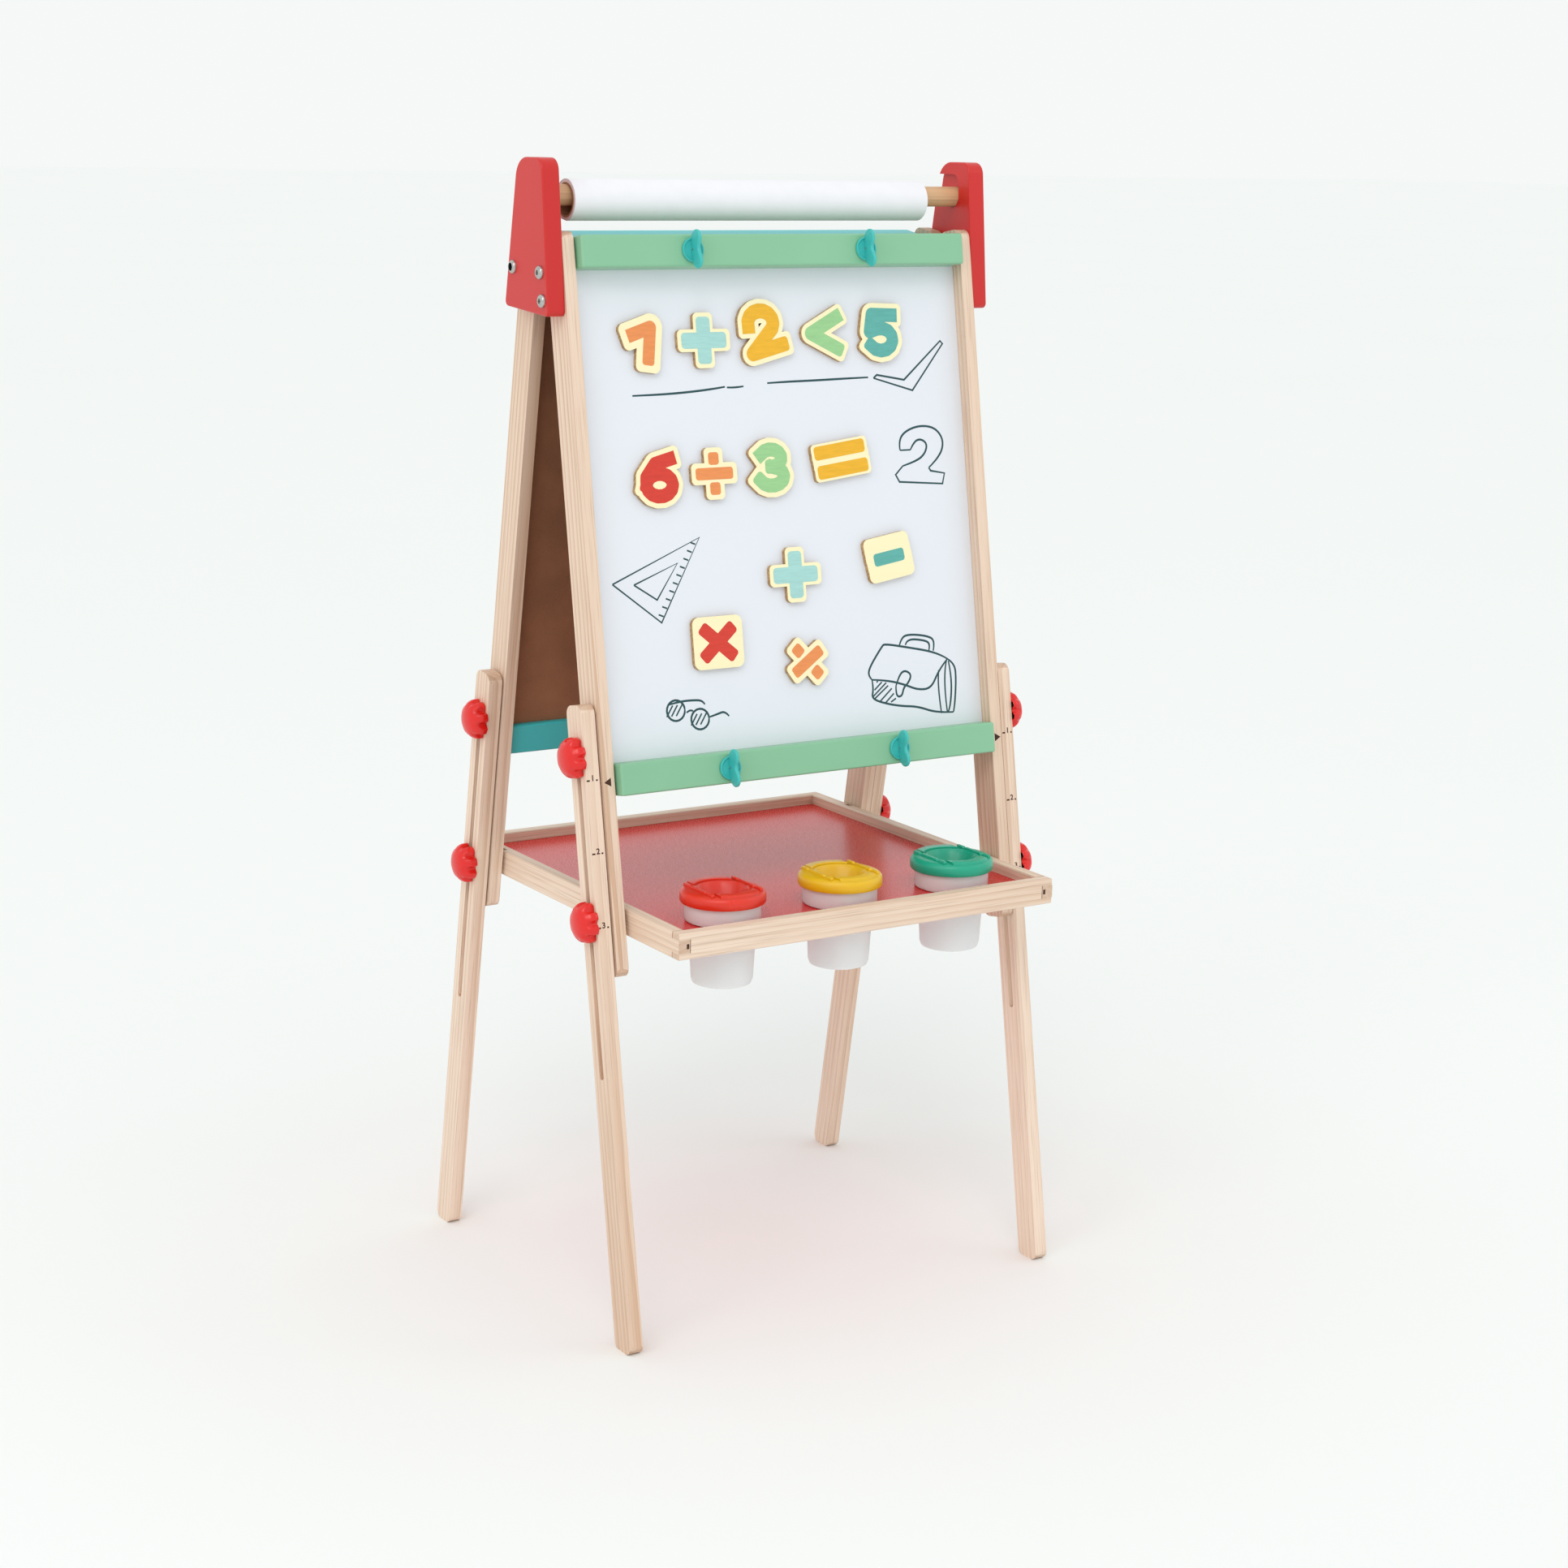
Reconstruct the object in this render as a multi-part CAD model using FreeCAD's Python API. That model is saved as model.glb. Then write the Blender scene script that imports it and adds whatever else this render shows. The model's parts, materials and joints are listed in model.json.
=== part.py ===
"""A child's double-sided easel: two leaning frames hinged at a pair of rounded cheeks, legs
that slide in and out of them, a cup tray between the legs, and a paper roll across the top.

Sizes are in millimetres, +Z is up and -Y is the whiteboard side. A frame is drawn upright in
its own terms first: x across, d the depth behind its outer face, s the distance down from its
top. stand() then leans it. The rear frame is the front one mirrored.
"""
import FreeCAD, Part
import math
import os

os.makedirs("parts", exist_ok=True)
V = FreeCAD.Vector

# The stand
TOP_HEIGHT = 1001.0          # top of the uprights above the floor
LEAN = 9.6                   # each frame leans this many degrees from upright
HALF_SPREAD = 36.0           # outer face of a frame from the middle plane, at its top
HALF_WIDTH = 221.5           # outer face of an upright from the centre line
REAR_SIDE_PLAY = 0.5         # the rear frame is this much narrower on each side

# Uprights and legs
UPRIGHT_THICK = 12.0
UPRIGHT_DEPTH = 32.0
UPRIGHT_LENGTH = 668.0
REAR_UPRIGHT_LENGTH = 661.0
BAR_END_RADIUS = 9.0
LEG_THICK = 13.5
LEG_DEPTH = 28.0
LEG_GAP = 2.0                # between an upright and its leg
LEG_TOP_DOWN = 420.0         # top of a fully drawn out leg below the frame's top
LEG_END_RADIUS = 8.0

# Leg bolts, slots and knobs
BOLT_R = 3.0
BOLT_CLEARANCE = 0.05
UPPER_BOLT_DOWN = 467.0
LOWER_BOLT_DOWN = 616.0
LEG_TRAVEL = 133.0           # from the longest setting to the shortest
SLOT_CLEARANCE = 0.5
SLOT_END_PLAY = 1.0
SLOT_BOTTOM_PLAY = 8.0         # below the lower bolt at the shortest setting
WASHER_R = 7.0
SIDE_PLAY = 0.3              # between a washer or knob and what turns or slides past it
STUD_END_IN_UPRIGHT = UPRIGHT_THICK - 4.0    # how deep a stud goes into an upright
KNOB_R = 19.0
KNOB_HEIGHT = 16.0
KNOB_LOBES = 8
KNOB_FLUTE_R = 5.0
KNOB_HUB_R = 7.0
KNOB_WALL = 2.2
KNOB_HOLLOW_DEPTH = 7.5
KNOB_BOLT_DEPTH = 10.5

# Rails and boards
RAIL_HEIGHT = 29.0
RAIL_PROUD = 9.0             # how far a rail stands out of the frame's outer face
RAIL_BACK = UPRIGHT_DEPTH - 9.0    # how far it reaches behind that face
RAIL_END_GAP = 2.5
RAIL_ROUND = 2.0
TOP_RAIL_DOWN = 5.3
BOTTOM_RAIL_DOWN = 475.3
TENON_THICK = 10.0
TENON_HEIGHT = 16.0
TENON_LENGTH = 7.0           # inside the upright
BOARD_THICK = 3.0
BOARD_RECESS = 14.1          # board's face behind the frame's outer face
GROOVE_PLAY = 0.1
GROOVE_DEPTH = 3.0

# Cheeks, in the side view
CHEEK_THICK = 17.5
CHEEK_TOP = TOP_HEIGHT + 62.0
CHEEK_BOTTOM_FRONT = (-HALF_SPREAD - 9.5, TOP_HEIGHT - 76.0)
CHEEK_BOTTOM_REAR = (HALF_SPREAD + 3.0, TOP_HEIGHT - 70.0)
CHEEK_TOP_FRONT_Y = -HALF_SPREAD + 3.5
CHEEK_TOP_REAR_Y = HALF_SPREAD - 21.5
CHEEK_FRONT_RADIUS = 12.0
CHEEK_REAR_RADIUS = 20.0
CHEEK_FOOT_RADIUS = 5.0
CHEEK_EASE = 1.5
CHEEK_BOLTS_DOWN = (36.0, 61.0)
CHEEK_BOLT_SETBACK = 12.0
PIVOT_DOWN = 32.0
PIVOT_SETBACK = 20.0
HEAD_R = 6.0
HEAD_HEIGHT = 3.2
SOCKET_R = 1.9
SOCKET_DEPTH = 2.0

# Paper roll on its dowel, dropped into J-shaped slots in the cheeks
DOWEL_R = 9.5
DOWEL_Y = -7.5
DOWEL_Z = TOP_HEIGHT + 29.3
DOWEL_LIFT = 11.2            # up the slot before it can come out to the rear
DOWEL_SIDE_PLAY = 0.5
SLOT_DEPTH = 6.0
SLOT_PLAY = 0.5
ROLL_LENGTH = 381.0
ROLL_X = -11.0               # the roll rests off centre on its dowel
CORE_WALL = 1.5
CORE_BORE_R = DOWEL_R + 4.5
ROLL_R = CORE_BORE_R + 4.7
CORE_OVERHANG = 0.4
ROLL_HANG_PLAY = 0.3

# Tray
TRAY_SIDE_GAP = 4.0          # between a tray side and the upright beside it
TRAY_FRONT_REACH = 105.0     # from the front leg bolts to the tray's front face
TRAY_REAR_REACH = 310.0
TRAY_RAIL_THICK = 12.0
TRAY_RAIL_HEIGHT = 24.4
TRAY_TOP_ABOVE_BOLT = 10.2
TRAY_FINGER_HEIGHT = 12.6
TRAY_ROUND = 1.5
TRAY_BOLT_DEPTH = 5.0
TRAY_BORE_BOTTOM_PLAY = 0.8
HOOK_CLEARANCE = 1.0         # round the rear bolt in the tray's open slanted slot
HOOK_ANGLE = 63.0
PANEL_THICK = 5.0
PANEL_DOWN = 10.0            # panel's top below the rails' top
PANEL_GROOVE = 5.0
PANEL_EDGE_PLAY = 0.4

# Paint cups and their lids
CUP_HOLE_R = 32.2
CUP_SPACING = 127.0
CUP_BEHIND_FRONT = 56.0      # cup centres behind the tray's front face
CUP_BELOW_PANEL = 59.0
CUP_ABOVE_PANEL = 24.0
CUP_BASE_R = CUP_HOLE_R - 3.7
CUP_HOLE_PLAY = 0.9
CUP_SHOULDER_R = CUP_HOLE_R + 2.8
CUP_WALL = 1.8
CUP_REST_PLAY = 0.2
LID_R = CUP_SHOULDER_R + 4.5
LID_HEIGHT = 12.0
LID_SKIRT_BELOW_RIM = 6.5
LID_PLAY = 0.35
FUNNEL_TOP_R = 23.0
FUNNEL_END_R = 11.5
FUNNEL_DEPTH = 26.0
BRUSH_REST_X = 25.5
BRUSH_REST_WIDTH = 3.0
BRUSH_REST_HEIGHT = 2.2

# Paper clips that turn on the front rails
CLIP_X = 94.0
CLIP_DISC_R = 11.0
CLIP_DISC_THICK = 3.0
CLIP_WING_LENGTH = 35.0
CLIP_WING_DEPTH = 15.0
CLIP_WING_THICK = 3.0
CLIP_PLAY = 0.2
CLIP_PIN_R = 2.0
CLIP_PIN_IN_RAIL = 4.0
CLIP_PIN_IN_WING = 2.0

# Magnets on the whiteboard
MAGNET_THICK = 4.5
MAGNET_PLAY = 0.2
FIGURE_STRETCH = 1.17        # figures are this much wider than drawn
STROKE = 0.30                # stroke width, as a share of a figure's height
STROKE_END_ROUND = 0.45      # corner radius at a stroke's end, as a share of its half width


# ---------------------------------------------------------------- shapes

def box(x, y, z):
    """A box from three (low, high) pairs."""
    return Part.makeBox(x[1] - x[0], y[1] - y[0], z[1] - z[0], V(x[0], y[0], z[0]))


def rod(radius, start, end):
    """A cylinder from one point to another."""
    along = V(*end) - V(*start)
    return Part.makeCylinder(radius, along.Length, V(*start), along)


def joined(shapes):
    """One solid from several that touch or overlap."""
    first, *rest = shapes
    return first.multiFuse(rest).removeSplitter() if rest else first


def rounded_wire(corners, place):
    """A closed wire through (u, v, radius) corners, rounded; place maps (u, v) to a point."""
    count = len(corners)
    ends = []
    for index, (u, v, radius) in enumerate(corners):
        here = V(u, v, 0)
        before = V(*corners[index - 1][:2], 0) - here
        after = V(*corners[(index + 1) % count][:2], 0) - here
        if radius <= 0:
            ends.append((here, None, here))
            continue
        half = before.getAngle(after) / 2
        before.normalize()
        after.normalize()
        reach = radius / math.tan(half)
        middle = (before + after).normalize()
        centre = here + middle * (radius / math.sin(half))
        ends.append((here + before * reach, centre - middle * radius, here + after * reach))
    edges = []
    for index, (start, top, end) in enumerate(ends):
        if top is not None:
            edges.append(Part.Arc(place(start), place(top), place(end)).toShape())
        following = ends[(index + 1) % count][0]
        if (following - end).Length > 1e-6:
            edges.append(Part.makeLine(place(end), place(following)))
    return Part.Wire(edges)


def side_plate(corners, low_x, high_x):
    """A plate between two x positions, from (y, z, radius) corners."""
    wire = rounded_wire(corners, lambda p: V(low_x, p.x, p.y))
    return Part.Face(wire).extrude(V(high_x - low_x, 0, 0))


def turned(corners, centre):
    """A solid turned about a vertical axis, from (r, z, radius) corners."""
    wire = rounded_wire(corners, lambda p: V(p.x, 0, p.y))
    solid = Part.Face(wire).revolve(V(0, 0, 0), V(0, 0, 1), 360)
    solid.translate(V(*centre))
    return solid


def eased(shape, radius, choose):
    """The shape with the edges that choose() picks rounded."""
    edges = [edge for edge in shape.Edges if choose(edge)]
    return shape.makeFillet(radius, edges)


def along(edge, direction):
    """Whether an edge is straight and runs along a direction."""
    if not isinstance(edge.Curve, Part.Line):
        return False
    return abs(abs(edge.Curve.Direction.dot(direction)) - 1) < 1e-6


def mirrored_x(shape):
    return shape.mirror(V(0, 0, 0), V(1, 0, 0))


# ---------------------------------------------------------------- placing

def stand(shape, side):
    """A shape drawn at (x, d, -s) put where the leaning front or rear frame has it."""
    placed = shape.copy()
    placed.rotate(V(0, 0, 0), V(1, 0, 0), -LEAN)
    placed.translate(V(0, -HALF_SPREAD, TOP_HEIGHT))
    return placed.mirror(V(0, 0, 0), V(0, 1, 0)) if side == "rear" else placed


def on_frame(x, d, s):
    """Where a point (x, d, s) of the front frame is in the stand."""
    lean = math.radians(LEAN)
    y = -HALF_SPREAD + d * math.cos(lean) - s * math.sin(lean)
    return V(x, y, TOP_HEIGHT - d * math.sin(lean) - s * math.cos(lean))


def outer_x(side):
    """Outer face of a frame's uprights."""
    return HALF_WIDTH - (REAR_SIDE_PLAY if side == "rear" else 0.0)


SIDES = ("front", "rear")
MID_DEPTH = UPRIGHT_DEPTH / 2
LEG_INSET = (UPRIGHT_DEPTH - LEG_DEPTH) / 2
LEG_IN_X = HALF_WIDTH + LEG_GAP
LEG_OUT_X = LEG_IN_X + LEG_THICK
BOARD_BACK = BOARD_RECESS + BOARD_THICK
TRAY_OUT_X = HALF_WIDTH - UPRIGHT_THICK - TRAY_SIDE_GAP
TRAY_IN_X = TRAY_OUT_X - TRAY_RAIL_THICK
TRAY_PIVOT = on_frame(0, MID_DEPTH, LOWER_BOLT_DOWN)
TRAY_FRONT_Y = TRAY_PIVOT.y - TRAY_FRONT_REACH
TRAY_REAR_Y = TRAY_PIVOT.y + TRAY_REAR_REACH
TRAY_TOP = TRAY_PIVOT.z + TRAY_TOP_ABOVE_BOLT
TRAY_BOTTOM = TRAY_TOP - TRAY_RAIL_HEIGHT
PANEL_TOP = TRAY_TOP - PANEL_DOWN
CUP_Y = TRAY_FRONT_Y + CUP_BEHIND_FRONT
PIVOT_AT = on_frame(0, PIVOT_SETBACK, PIVOT_DOWN)
PIVOT_Y, PIVOT_Z = -PIVOT_AT.y, PIVOT_AT.z


# ---------------------------------------------------------------- frames

def board_groove(side):
    """The space that a board's edges need in the uprights and rails around it."""
    inner = outer_x(side) - UPRIGHT_THICK + GROOVE_DEPTH
    return box((-inner, inner), (BOARD_RECESS - GROOVE_PLAY, BOARD_BACK + GROOVE_PLAY),
               (-BOTTOM_RAIL_DOWN - GROOVE_DEPTH, GROOVE_DEPTH - TOP_RAIL_DOWN - RAIL_HEIGHT))


def tenon(side, down, play):
    """The tenons at both ends of a rail, or their mortises when play is added."""
    reach = outer_x(side) - UPRIGHT_THICK + TENON_LENGTH + play
    middle = down + RAIL_HEIGHT / 2
    half_thick = TENON_THICK / 2 + play
    half_height = TENON_HEIGHT / 2 + play
    return box((-reach, reach), (MID_DEPTH - half_thick, MID_DEPTH + half_thick),
               (-middle - half_height, half_height - middle))


def upright(side):
    """The right-hand upright of a frame: bar, board groove, mortises and bolt bores."""
    out = outer_x(side)
    length = REAR_UPRIGHT_LENGTH if side == "rear" else UPRIGHT_LENGTH
    radius = BAR_END_RADIUS
    bar = side_plate([(0, 0, radius), (UPRIGHT_DEPTH, 0, radius),
                      (UPRIGHT_DEPTH, -length, radius), (0, -length, radius)],
                     out - UPRIGHT_THICK, out)
    bar = bar.cut(board_groove(side))
    for down in (TOP_RAIL_DOWN, BOTTOM_RAIL_DOWN):
        bar = bar.cut(tenon(side, down, GROOVE_PLAY))
    bore = BOLT_R + BOLT_CLEARANCE
    blind_x = out - STUD_END_IN_UPRIGHT - BOLT_CLEARANCE
    bar = bar.cut(rod(bore, (blind_x, MID_DEPTH, -UPPER_BOLT_DOWN),
                      (out, MID_DEPTH, -UPPER_BOLT_DOWN)))
    bar = bar.cut(rod(bore, (0, MID_DEPTH, -LOWER_BOLT_DOWN), (out, MID_DEPTH, -LOWER_BOLT_DOWN)))
    if side == "front":
        holes = [(CHEEK_BOLT_SETBACK, down) for down in CHEEK_BOLTS_DOWN]
    else:
        holes = [(PIVOT_SETBACK, PIVOT_DOWN)]
    for depth, down in holes:
        bar = bar.cut(rod(bore, (blind_x, depth, -down), (out, depth, -down)))
    return bar


def rail(side, down):
    """A painted cross rail with a tenon at each end and a groove for the board."""
    reach = outer_x(side) - UPRIGHT_THICK - RAIL_END_GAP
    body = box((-reach, reach), (-RAIL_PROUD, RAIL_BACK), (-down - RAIL_HEIGHT, -down))
    body = body.makeFillet(RAIL_ROUND, body.Edges)
    body = joined([body, tenon(side, down, 0.0)]).cut(board_groove(side))
    if side == "front":
        for x in (-CLIP_X, CLIP_X):
            body = body.cut(clip_pin(x, down + RAIL_HEIGHT / 2, 0.0, BOLT_CLEARANCE))
    return body


def board(side):
    """A thin writing board, let into the uprights and rails."""
    inner = outer_x(side) - UPRIGHT_THICK + GROOVE_DEPTH - GROOVE_PLAY
    top = TOP_RAIL_DOWN + RAIL_HEIGHT - GROOVE_DEPTH + GROOVE_PLAY
    bottom = BOTTOM_RAIL_DOWN + GROOVE_DEPTH - GROOVE_PLAY
    return box((-inner, inner), (BOARD_RECESS, BOARD_BACK), (-bottom, -top))


def leg(side):
    """The right-hand leg: a slotted bar with a foot cut level with the floor."""
    lean = math.radians(LEAN)
    inset = HALF_WIDTH - outer_x(side)
    front, back = LEG_INSET, LEG_INSET + LEG_DEPTH

    def floor(depth):
        return -(TOP_HEIGHT - depth * math.sin(lean)) / math.cos(lean)

    bar = side_plate([(front, -LEG_TOP_DOWN, BAR_END_RADIUS), (back, -LEG_TOP_DOWN, BAR_END_RADIUS),
                      (back, floor(back), LEG_END_RADIUS), (front, floor(front), LEG_END_RADIUS)],
                     LEG_IN_X - inset, LEG_OUT_X - inset)
    half = BOLT_R + SLOT_CLEARANCE
    high = UPPER_BOLT_DOWN - SLOT_END_PLAY
    low = LOWER_BOLT_DOWN + LEG_TRAVEL + SLOT_BOTTOM_PLAY
    slot = side_plate([(MID_DEPTH - half, -high + half, half * 0.98),
                       (MID_DEPTH + half, -high + half, half * 0.98),
                       (MID_DEPTH + half, -low - half, half * 0.98),
                       (MID_DEPTH - half, -low - half, half * 0.98)],
                      LEG_IN_X - inset - 1, LEG_OUT_X + 1)
    return bar.cut(slot)


def leg_bolt(side, down):
    """The right-hand bolt that a leg slides on. The lower one goes on into the tray's side."""
    out = outer_x(side)
    inset = HALF_WIDTH - out
    at = (MID_DEPTH, -down)
    knob_back = LEG_OUT_X - inset + SIDE_PLAY
    tip = knob_back + KNOB_BOLT_DEPTH - BOLT_CLEARANCE
    inner = out - UPRIGHT_THICK
    is_lower = down == LOWER_BOLT_DOWN
    end = TRAY_OUT_X - TRAY_BOLT_DEPTH if is_lower else out - STUD_END_IN_UPRIGHT
    pieces = [rod(BOLT_R, (end, *at), (tip, *at)),
              rod(WASHER_R, (out, *at), (LEG_IN_X - inset - SIDE_PLAY, *at))]
    if is_lower:
        pieces.append(rod(WASHER_R, (TRAY_OUT_X + SIDE_PLAY, *at), (inner, *at)))
    return joined(pieces)


def knob(side, down):
    """The right-hand grip knob on a leg bolt: a fluted dome, hollow behind round a hub."""
    inset = HALF_WIDTH - outer_x(side)
    back = LEG_OUT_X - inset + SIDE_PLAY
    dome = turned([(0, 0, 0), (KNOB_R, 0, 1.0), (KNOB_R, KNOB_HEIGHT * 0.55, 4.0),
                   (KNOB_R * 0.55, KNOB_HEIGHT, 9.0), (0, KNOB_HEIGHT, 0)], (0, 0, 0))
    inner_r = KNOB_R - KNOB_FLUTE_R * 0.7 - KNOB_WALL
    hollow = Part.makeCylinder(inner_r, KNOB_HOLLOW_DEPTH).cut(
        Part.makeCylinder(KNOB_HUB_R, KNOB_HOLLOW_DEPTH))
    shape = dome.cut(hollow)
    for index in range(KNOB_LOBES):
        angle = 2 * math.pi * index / KNOB_LOBES
        reach = KNOB_R + KNOB_FLUTE_R * 0.3
        flute = Part.makeCylinder(KNOB_FLUTE_R, KNOB_HEIGHT + 2,
                                  V(reach * math.cos(angle), reach * math.sin(angle), -1))
        shape = shape.cut(flute)
    shape = shape.cut(Part.makeCylinder(BOLT_R + BOLT_CLEARANCE, KNOB_BOLT_DEPTH))
    shape.rotate(V(0, 0, 0), V(0, 1, 0), 90)
    shape.translate(V(back, MID_DEPTH, -down))
    return shape


# ---------------------------------------------------------------- cheeks, dowel and roll

def cheek():
    """The right-hand cheek: a painted plate that joins both frames and holds the dowel."""
    plate = side_plate([(*CHEEK_BOTTOM_FRONT, CHEEK_FOOT_RADIUS),
                        (*CHEEK_BOTTOM_REAR, CHEEK_FOOT_RADIUS),
                        (CHEEK_TOP_REAR_Y, CHEEK_TOP, CHEEK_REAR_RADIUS),
                        (CHEEK_TOP_FRONT_Y, CHEEK_TOP, CHEEK_FRONT_RADIUS)],
                       HALF_WIDTH, HALF_WIDTH + CHEEK_THICK)
    plate = eased(plate, CHEEK_EASE, lambda edge: edge.BoundBox.XLength < 1e-6)
    slot_r = DOWEL_R + SLOT_PLAY
    high = DOWEL_Z + DOWEL_LIFT + DOWEL_R + SLOT_PLAY
    low = high - 2 * slot_r
    seat = side_plate([(DOWEL_Y - slot_r, DOWEL_Z - slot_r, slot_r * 0.99),
                       (DOWEL_Y + slot_r, DOWEL_Z - slot_r, slot_r * 0.99),
                       (DOWEL_Y + slot_r, high, 0), (DOWEL_Y - slot_r, high, slot_r)],
                      HALF_WIDTH - 1, HALF_WIDTH + SLOT_DEPTH)
    mouth = box((HALF_WIDTH - 1, HALF_WIDTH + SLOT_DEPTH), (DOWEL_Y, CHEEK_BOTTOM_REAR[0]),
                (low, high))
    plate = plate.cut(joined([seat, mouth]))
    bore = BOLT_R + BOLT_CLEARANCE
    for y, z in cheek_bolt_places() + [(PIVOT_Y, PIVOT_Z)]:
        plate = plate.cut(rod(bore, (HALF_WIDTH - 1, y, z), (HALF_WIDTH + CHEEK_THICK + 1, y, z)))
    return plate


def cheek_bolt_places():
    """(y, z) of the bolts that fix a cheek to the front upright."""
    places = [on_frame(0, CHEEK_BOLT_SETBACK, down) for down in CHEEK_BOLTS_DOWN]
    return [(point.y, point.z) for point in places]


def cheek_bolt(y, z, upright_out):
    """The right-hand bolt through a cheek at (y, z), with a round socket head."""
    face = HALF_WIDTH + CHEEK_THICK
    bolt = joined([rod(BOLT_R, (upright_out - STUD_END_IN_UPRIGHT, y, z), (face, y, z)),
                   rod(HEAD_R, (face, y, z), (face + HEAD_HEIGHT, y, z))])
    return bolt.cut(rod(SOCKET_R, (face + HEAD_HEIGHT - SOCKET_DEPTH, y, z),
                        (face + HEAD_HEIGHT, y, z)))


def roll_dowel():
    """The rod across the top, with its ends in the cheeks' slots."""
    reach = HALF_WIDTH + SLOT_DEPTH - DOWEL_SIDE_PLAY
    dowel = rod(DOWEL_R, (-reach, DOWEL_Y, DOWEL_Z), (reach, DOWEL_Y, DOWEL_Z))
    return eased(dowel, 1.0, lambda edge: edge.BoundBox.XLength < 1e-6)


def roll_z():
    """Height of the roll's axis: its core hangs on the dowel."""
    return DOWEL_Z + DOWEL_R + ROLL_HANG_PLAY - CORE_BORE_R


def roll_sleeve(inner, outer, half_length):
    """A sleeve round the roll's axis."""
    ends = ((ROLL_X - half_length, DOWEL_Y, roll_z()), (ROLL_X + half_length, DOWEL_Y, roll_z()))
    return rod(outer, *ends).cut(rod(inner, *ends))


# ---------------------------------------------------------------- tray, cups and lids

def panel_groove():
    """The space that the panel's edges need in the tray's rails."""
    side = TRAY_IN_X + PANEL_GROOVE
    front = TRAY_FRONT_Y + TRAY_RAIL_THICK - PANEL_GROOVE
    rear = TRAY_REAR_Y - TRAY_RAIL_THICK + PANEL_GROOVE
    return box((-side, side), (front, rear), (PANEL_TOP - PANEL_THICK - GROOVE_PLAY,
                                              PANEL_TOP + GROOVE_PLAY))


def tray_finger_zone(low_y, high_y):
    """Where the sides' fingers pass through an end rail, at mid height."""
    middle = (TRAY_TOP + TRAY_BOTTOM) / 2
    half = TRAY_FINGER_HEIGHT / 2
    side = TRAY_OUT_X + 1
    zone = box((-side, side), (low_y, high_y), (middle - half, middle + half))
    return zone.cut(box((-TRAY_IN_X, TRAY_IN_X), (low_y - 1, high_y + 1),
                        (middle - half - 1, middle + half + 1)))


def tray_end(low_y):
    """The front or rear rail of the tray."""
    high_y = low_y + TRAY_RAIL_THICK
    bar = box((-TRAY_OUT_X, TRAY_OUT_X), (low_y, high_y), (TRAY_BOTTOM, TRAY_TOP))
    bar = bar.makeFillet(TRAY_ROUND, bar.Edges)
    return bar.cut(tray_finger_zone(low_y - 1, high_y + 1)).cut(panel_groove())


def tray_side():
    """The right-hand side rail: pivot bore in front, open slanted slot at the rear bolt."""
    low_y, high_y = TRAY_FRONT_Y + TRAY_RAIL_THICK, TRAY_REAR_Y - TRAY_RAIL_THICK
    bar = box((TRAY_IN_X, TRAY_OUT_X), (low_y, high_y), (TRAY_BOTTOM, TRAY_TOP))
    bar = eased(bar, TRAY_ROUND, lambda edge: along(edge, V(0, 1, 0)))
    fingers = tray_finger_zone(TRAY_FRONT_Y, TRAY_REAR_Y).cut(
        box((-TRAY_OUT_X - 2, TRAY_OUT_X + 2), (low_y, high_y), (TRAY_BOTTOM, TRAY_TOP)))
    right = box((TRAY_IN_X, TRAY_OUT_X), (TRAY_FRONT_Y, TRAY_REAR_Y), (TRAY_BOTTOM, TRAY_TOP))
    bar = joined([bar, fingers.common(right)]).cut(panel_groove())
    bottom_x = TRAY_OUT_X - TRAY_BOLT_DEPTH - TRAY_BORE_BOTTOM_PLAY
    y, z = TRAY_PIVOT.y, TRAY_PIVOT.z
    bar = bar.cut(rod(BOLT_R + BOLT_CLEARANCE, (bottom_x, y, z), (TRAY_OUT_X + 1, y, z)))
    rise = TRAY_TOP - z + 2 * BOLT_R + HOOK_CLEARANCE
    half = BOLT_R + HOOK_CLEARANCE
    hook = side_plate([(-half, -half, half * 0.98), (half, -half, half * 0.98),
                       (half, rise / math.sin(math.radians(HOOK_ANGLE)), 0),
                       (-half, rise / math.sin(math.radians(HOOK_ANGLE)), 0)],
                      bottom_x, TRAY_OUT_X + 1)
    hook.rotate(V(0, 0, 0), V(1, 0, 0), 90 - HOOK_ANGLE)
    hook.translate(V(0, -y, z))
    return bar.cut(hook)


def tray_panel():
    """The painted panel, let into all four rails, with a hole for each cup."""
    play = PANEL_EDGE_PLAY
    side = TRAY_IN_X + PANEL_GROOVE - play
    front = TRAY_FRONT_Y + TRAY_RAIL_THICK - PANEL_GROOVE + play
    rear = TRAY_REAR_Y - TRAY_RAIL_THICK + PANEL_GROOVE - play
    panel = box((-side, side), (front, rear), (PANEL_TOP - PANEL_THICK, PANEL_TOP))
    for x in cup_places().values():
        panel = panel.cut(rod(CUP_HOLE_R, (x, CUP_Y, PANEL_TOP - PANEL_THICK - 1),
                              (x, CUP_Y, PANEL_TOP + 1)))
    return panel


def cup_places():
    return {"left": -CUP_SPACING, "middle": 0.0, "right": CUP_SPACING}


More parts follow.
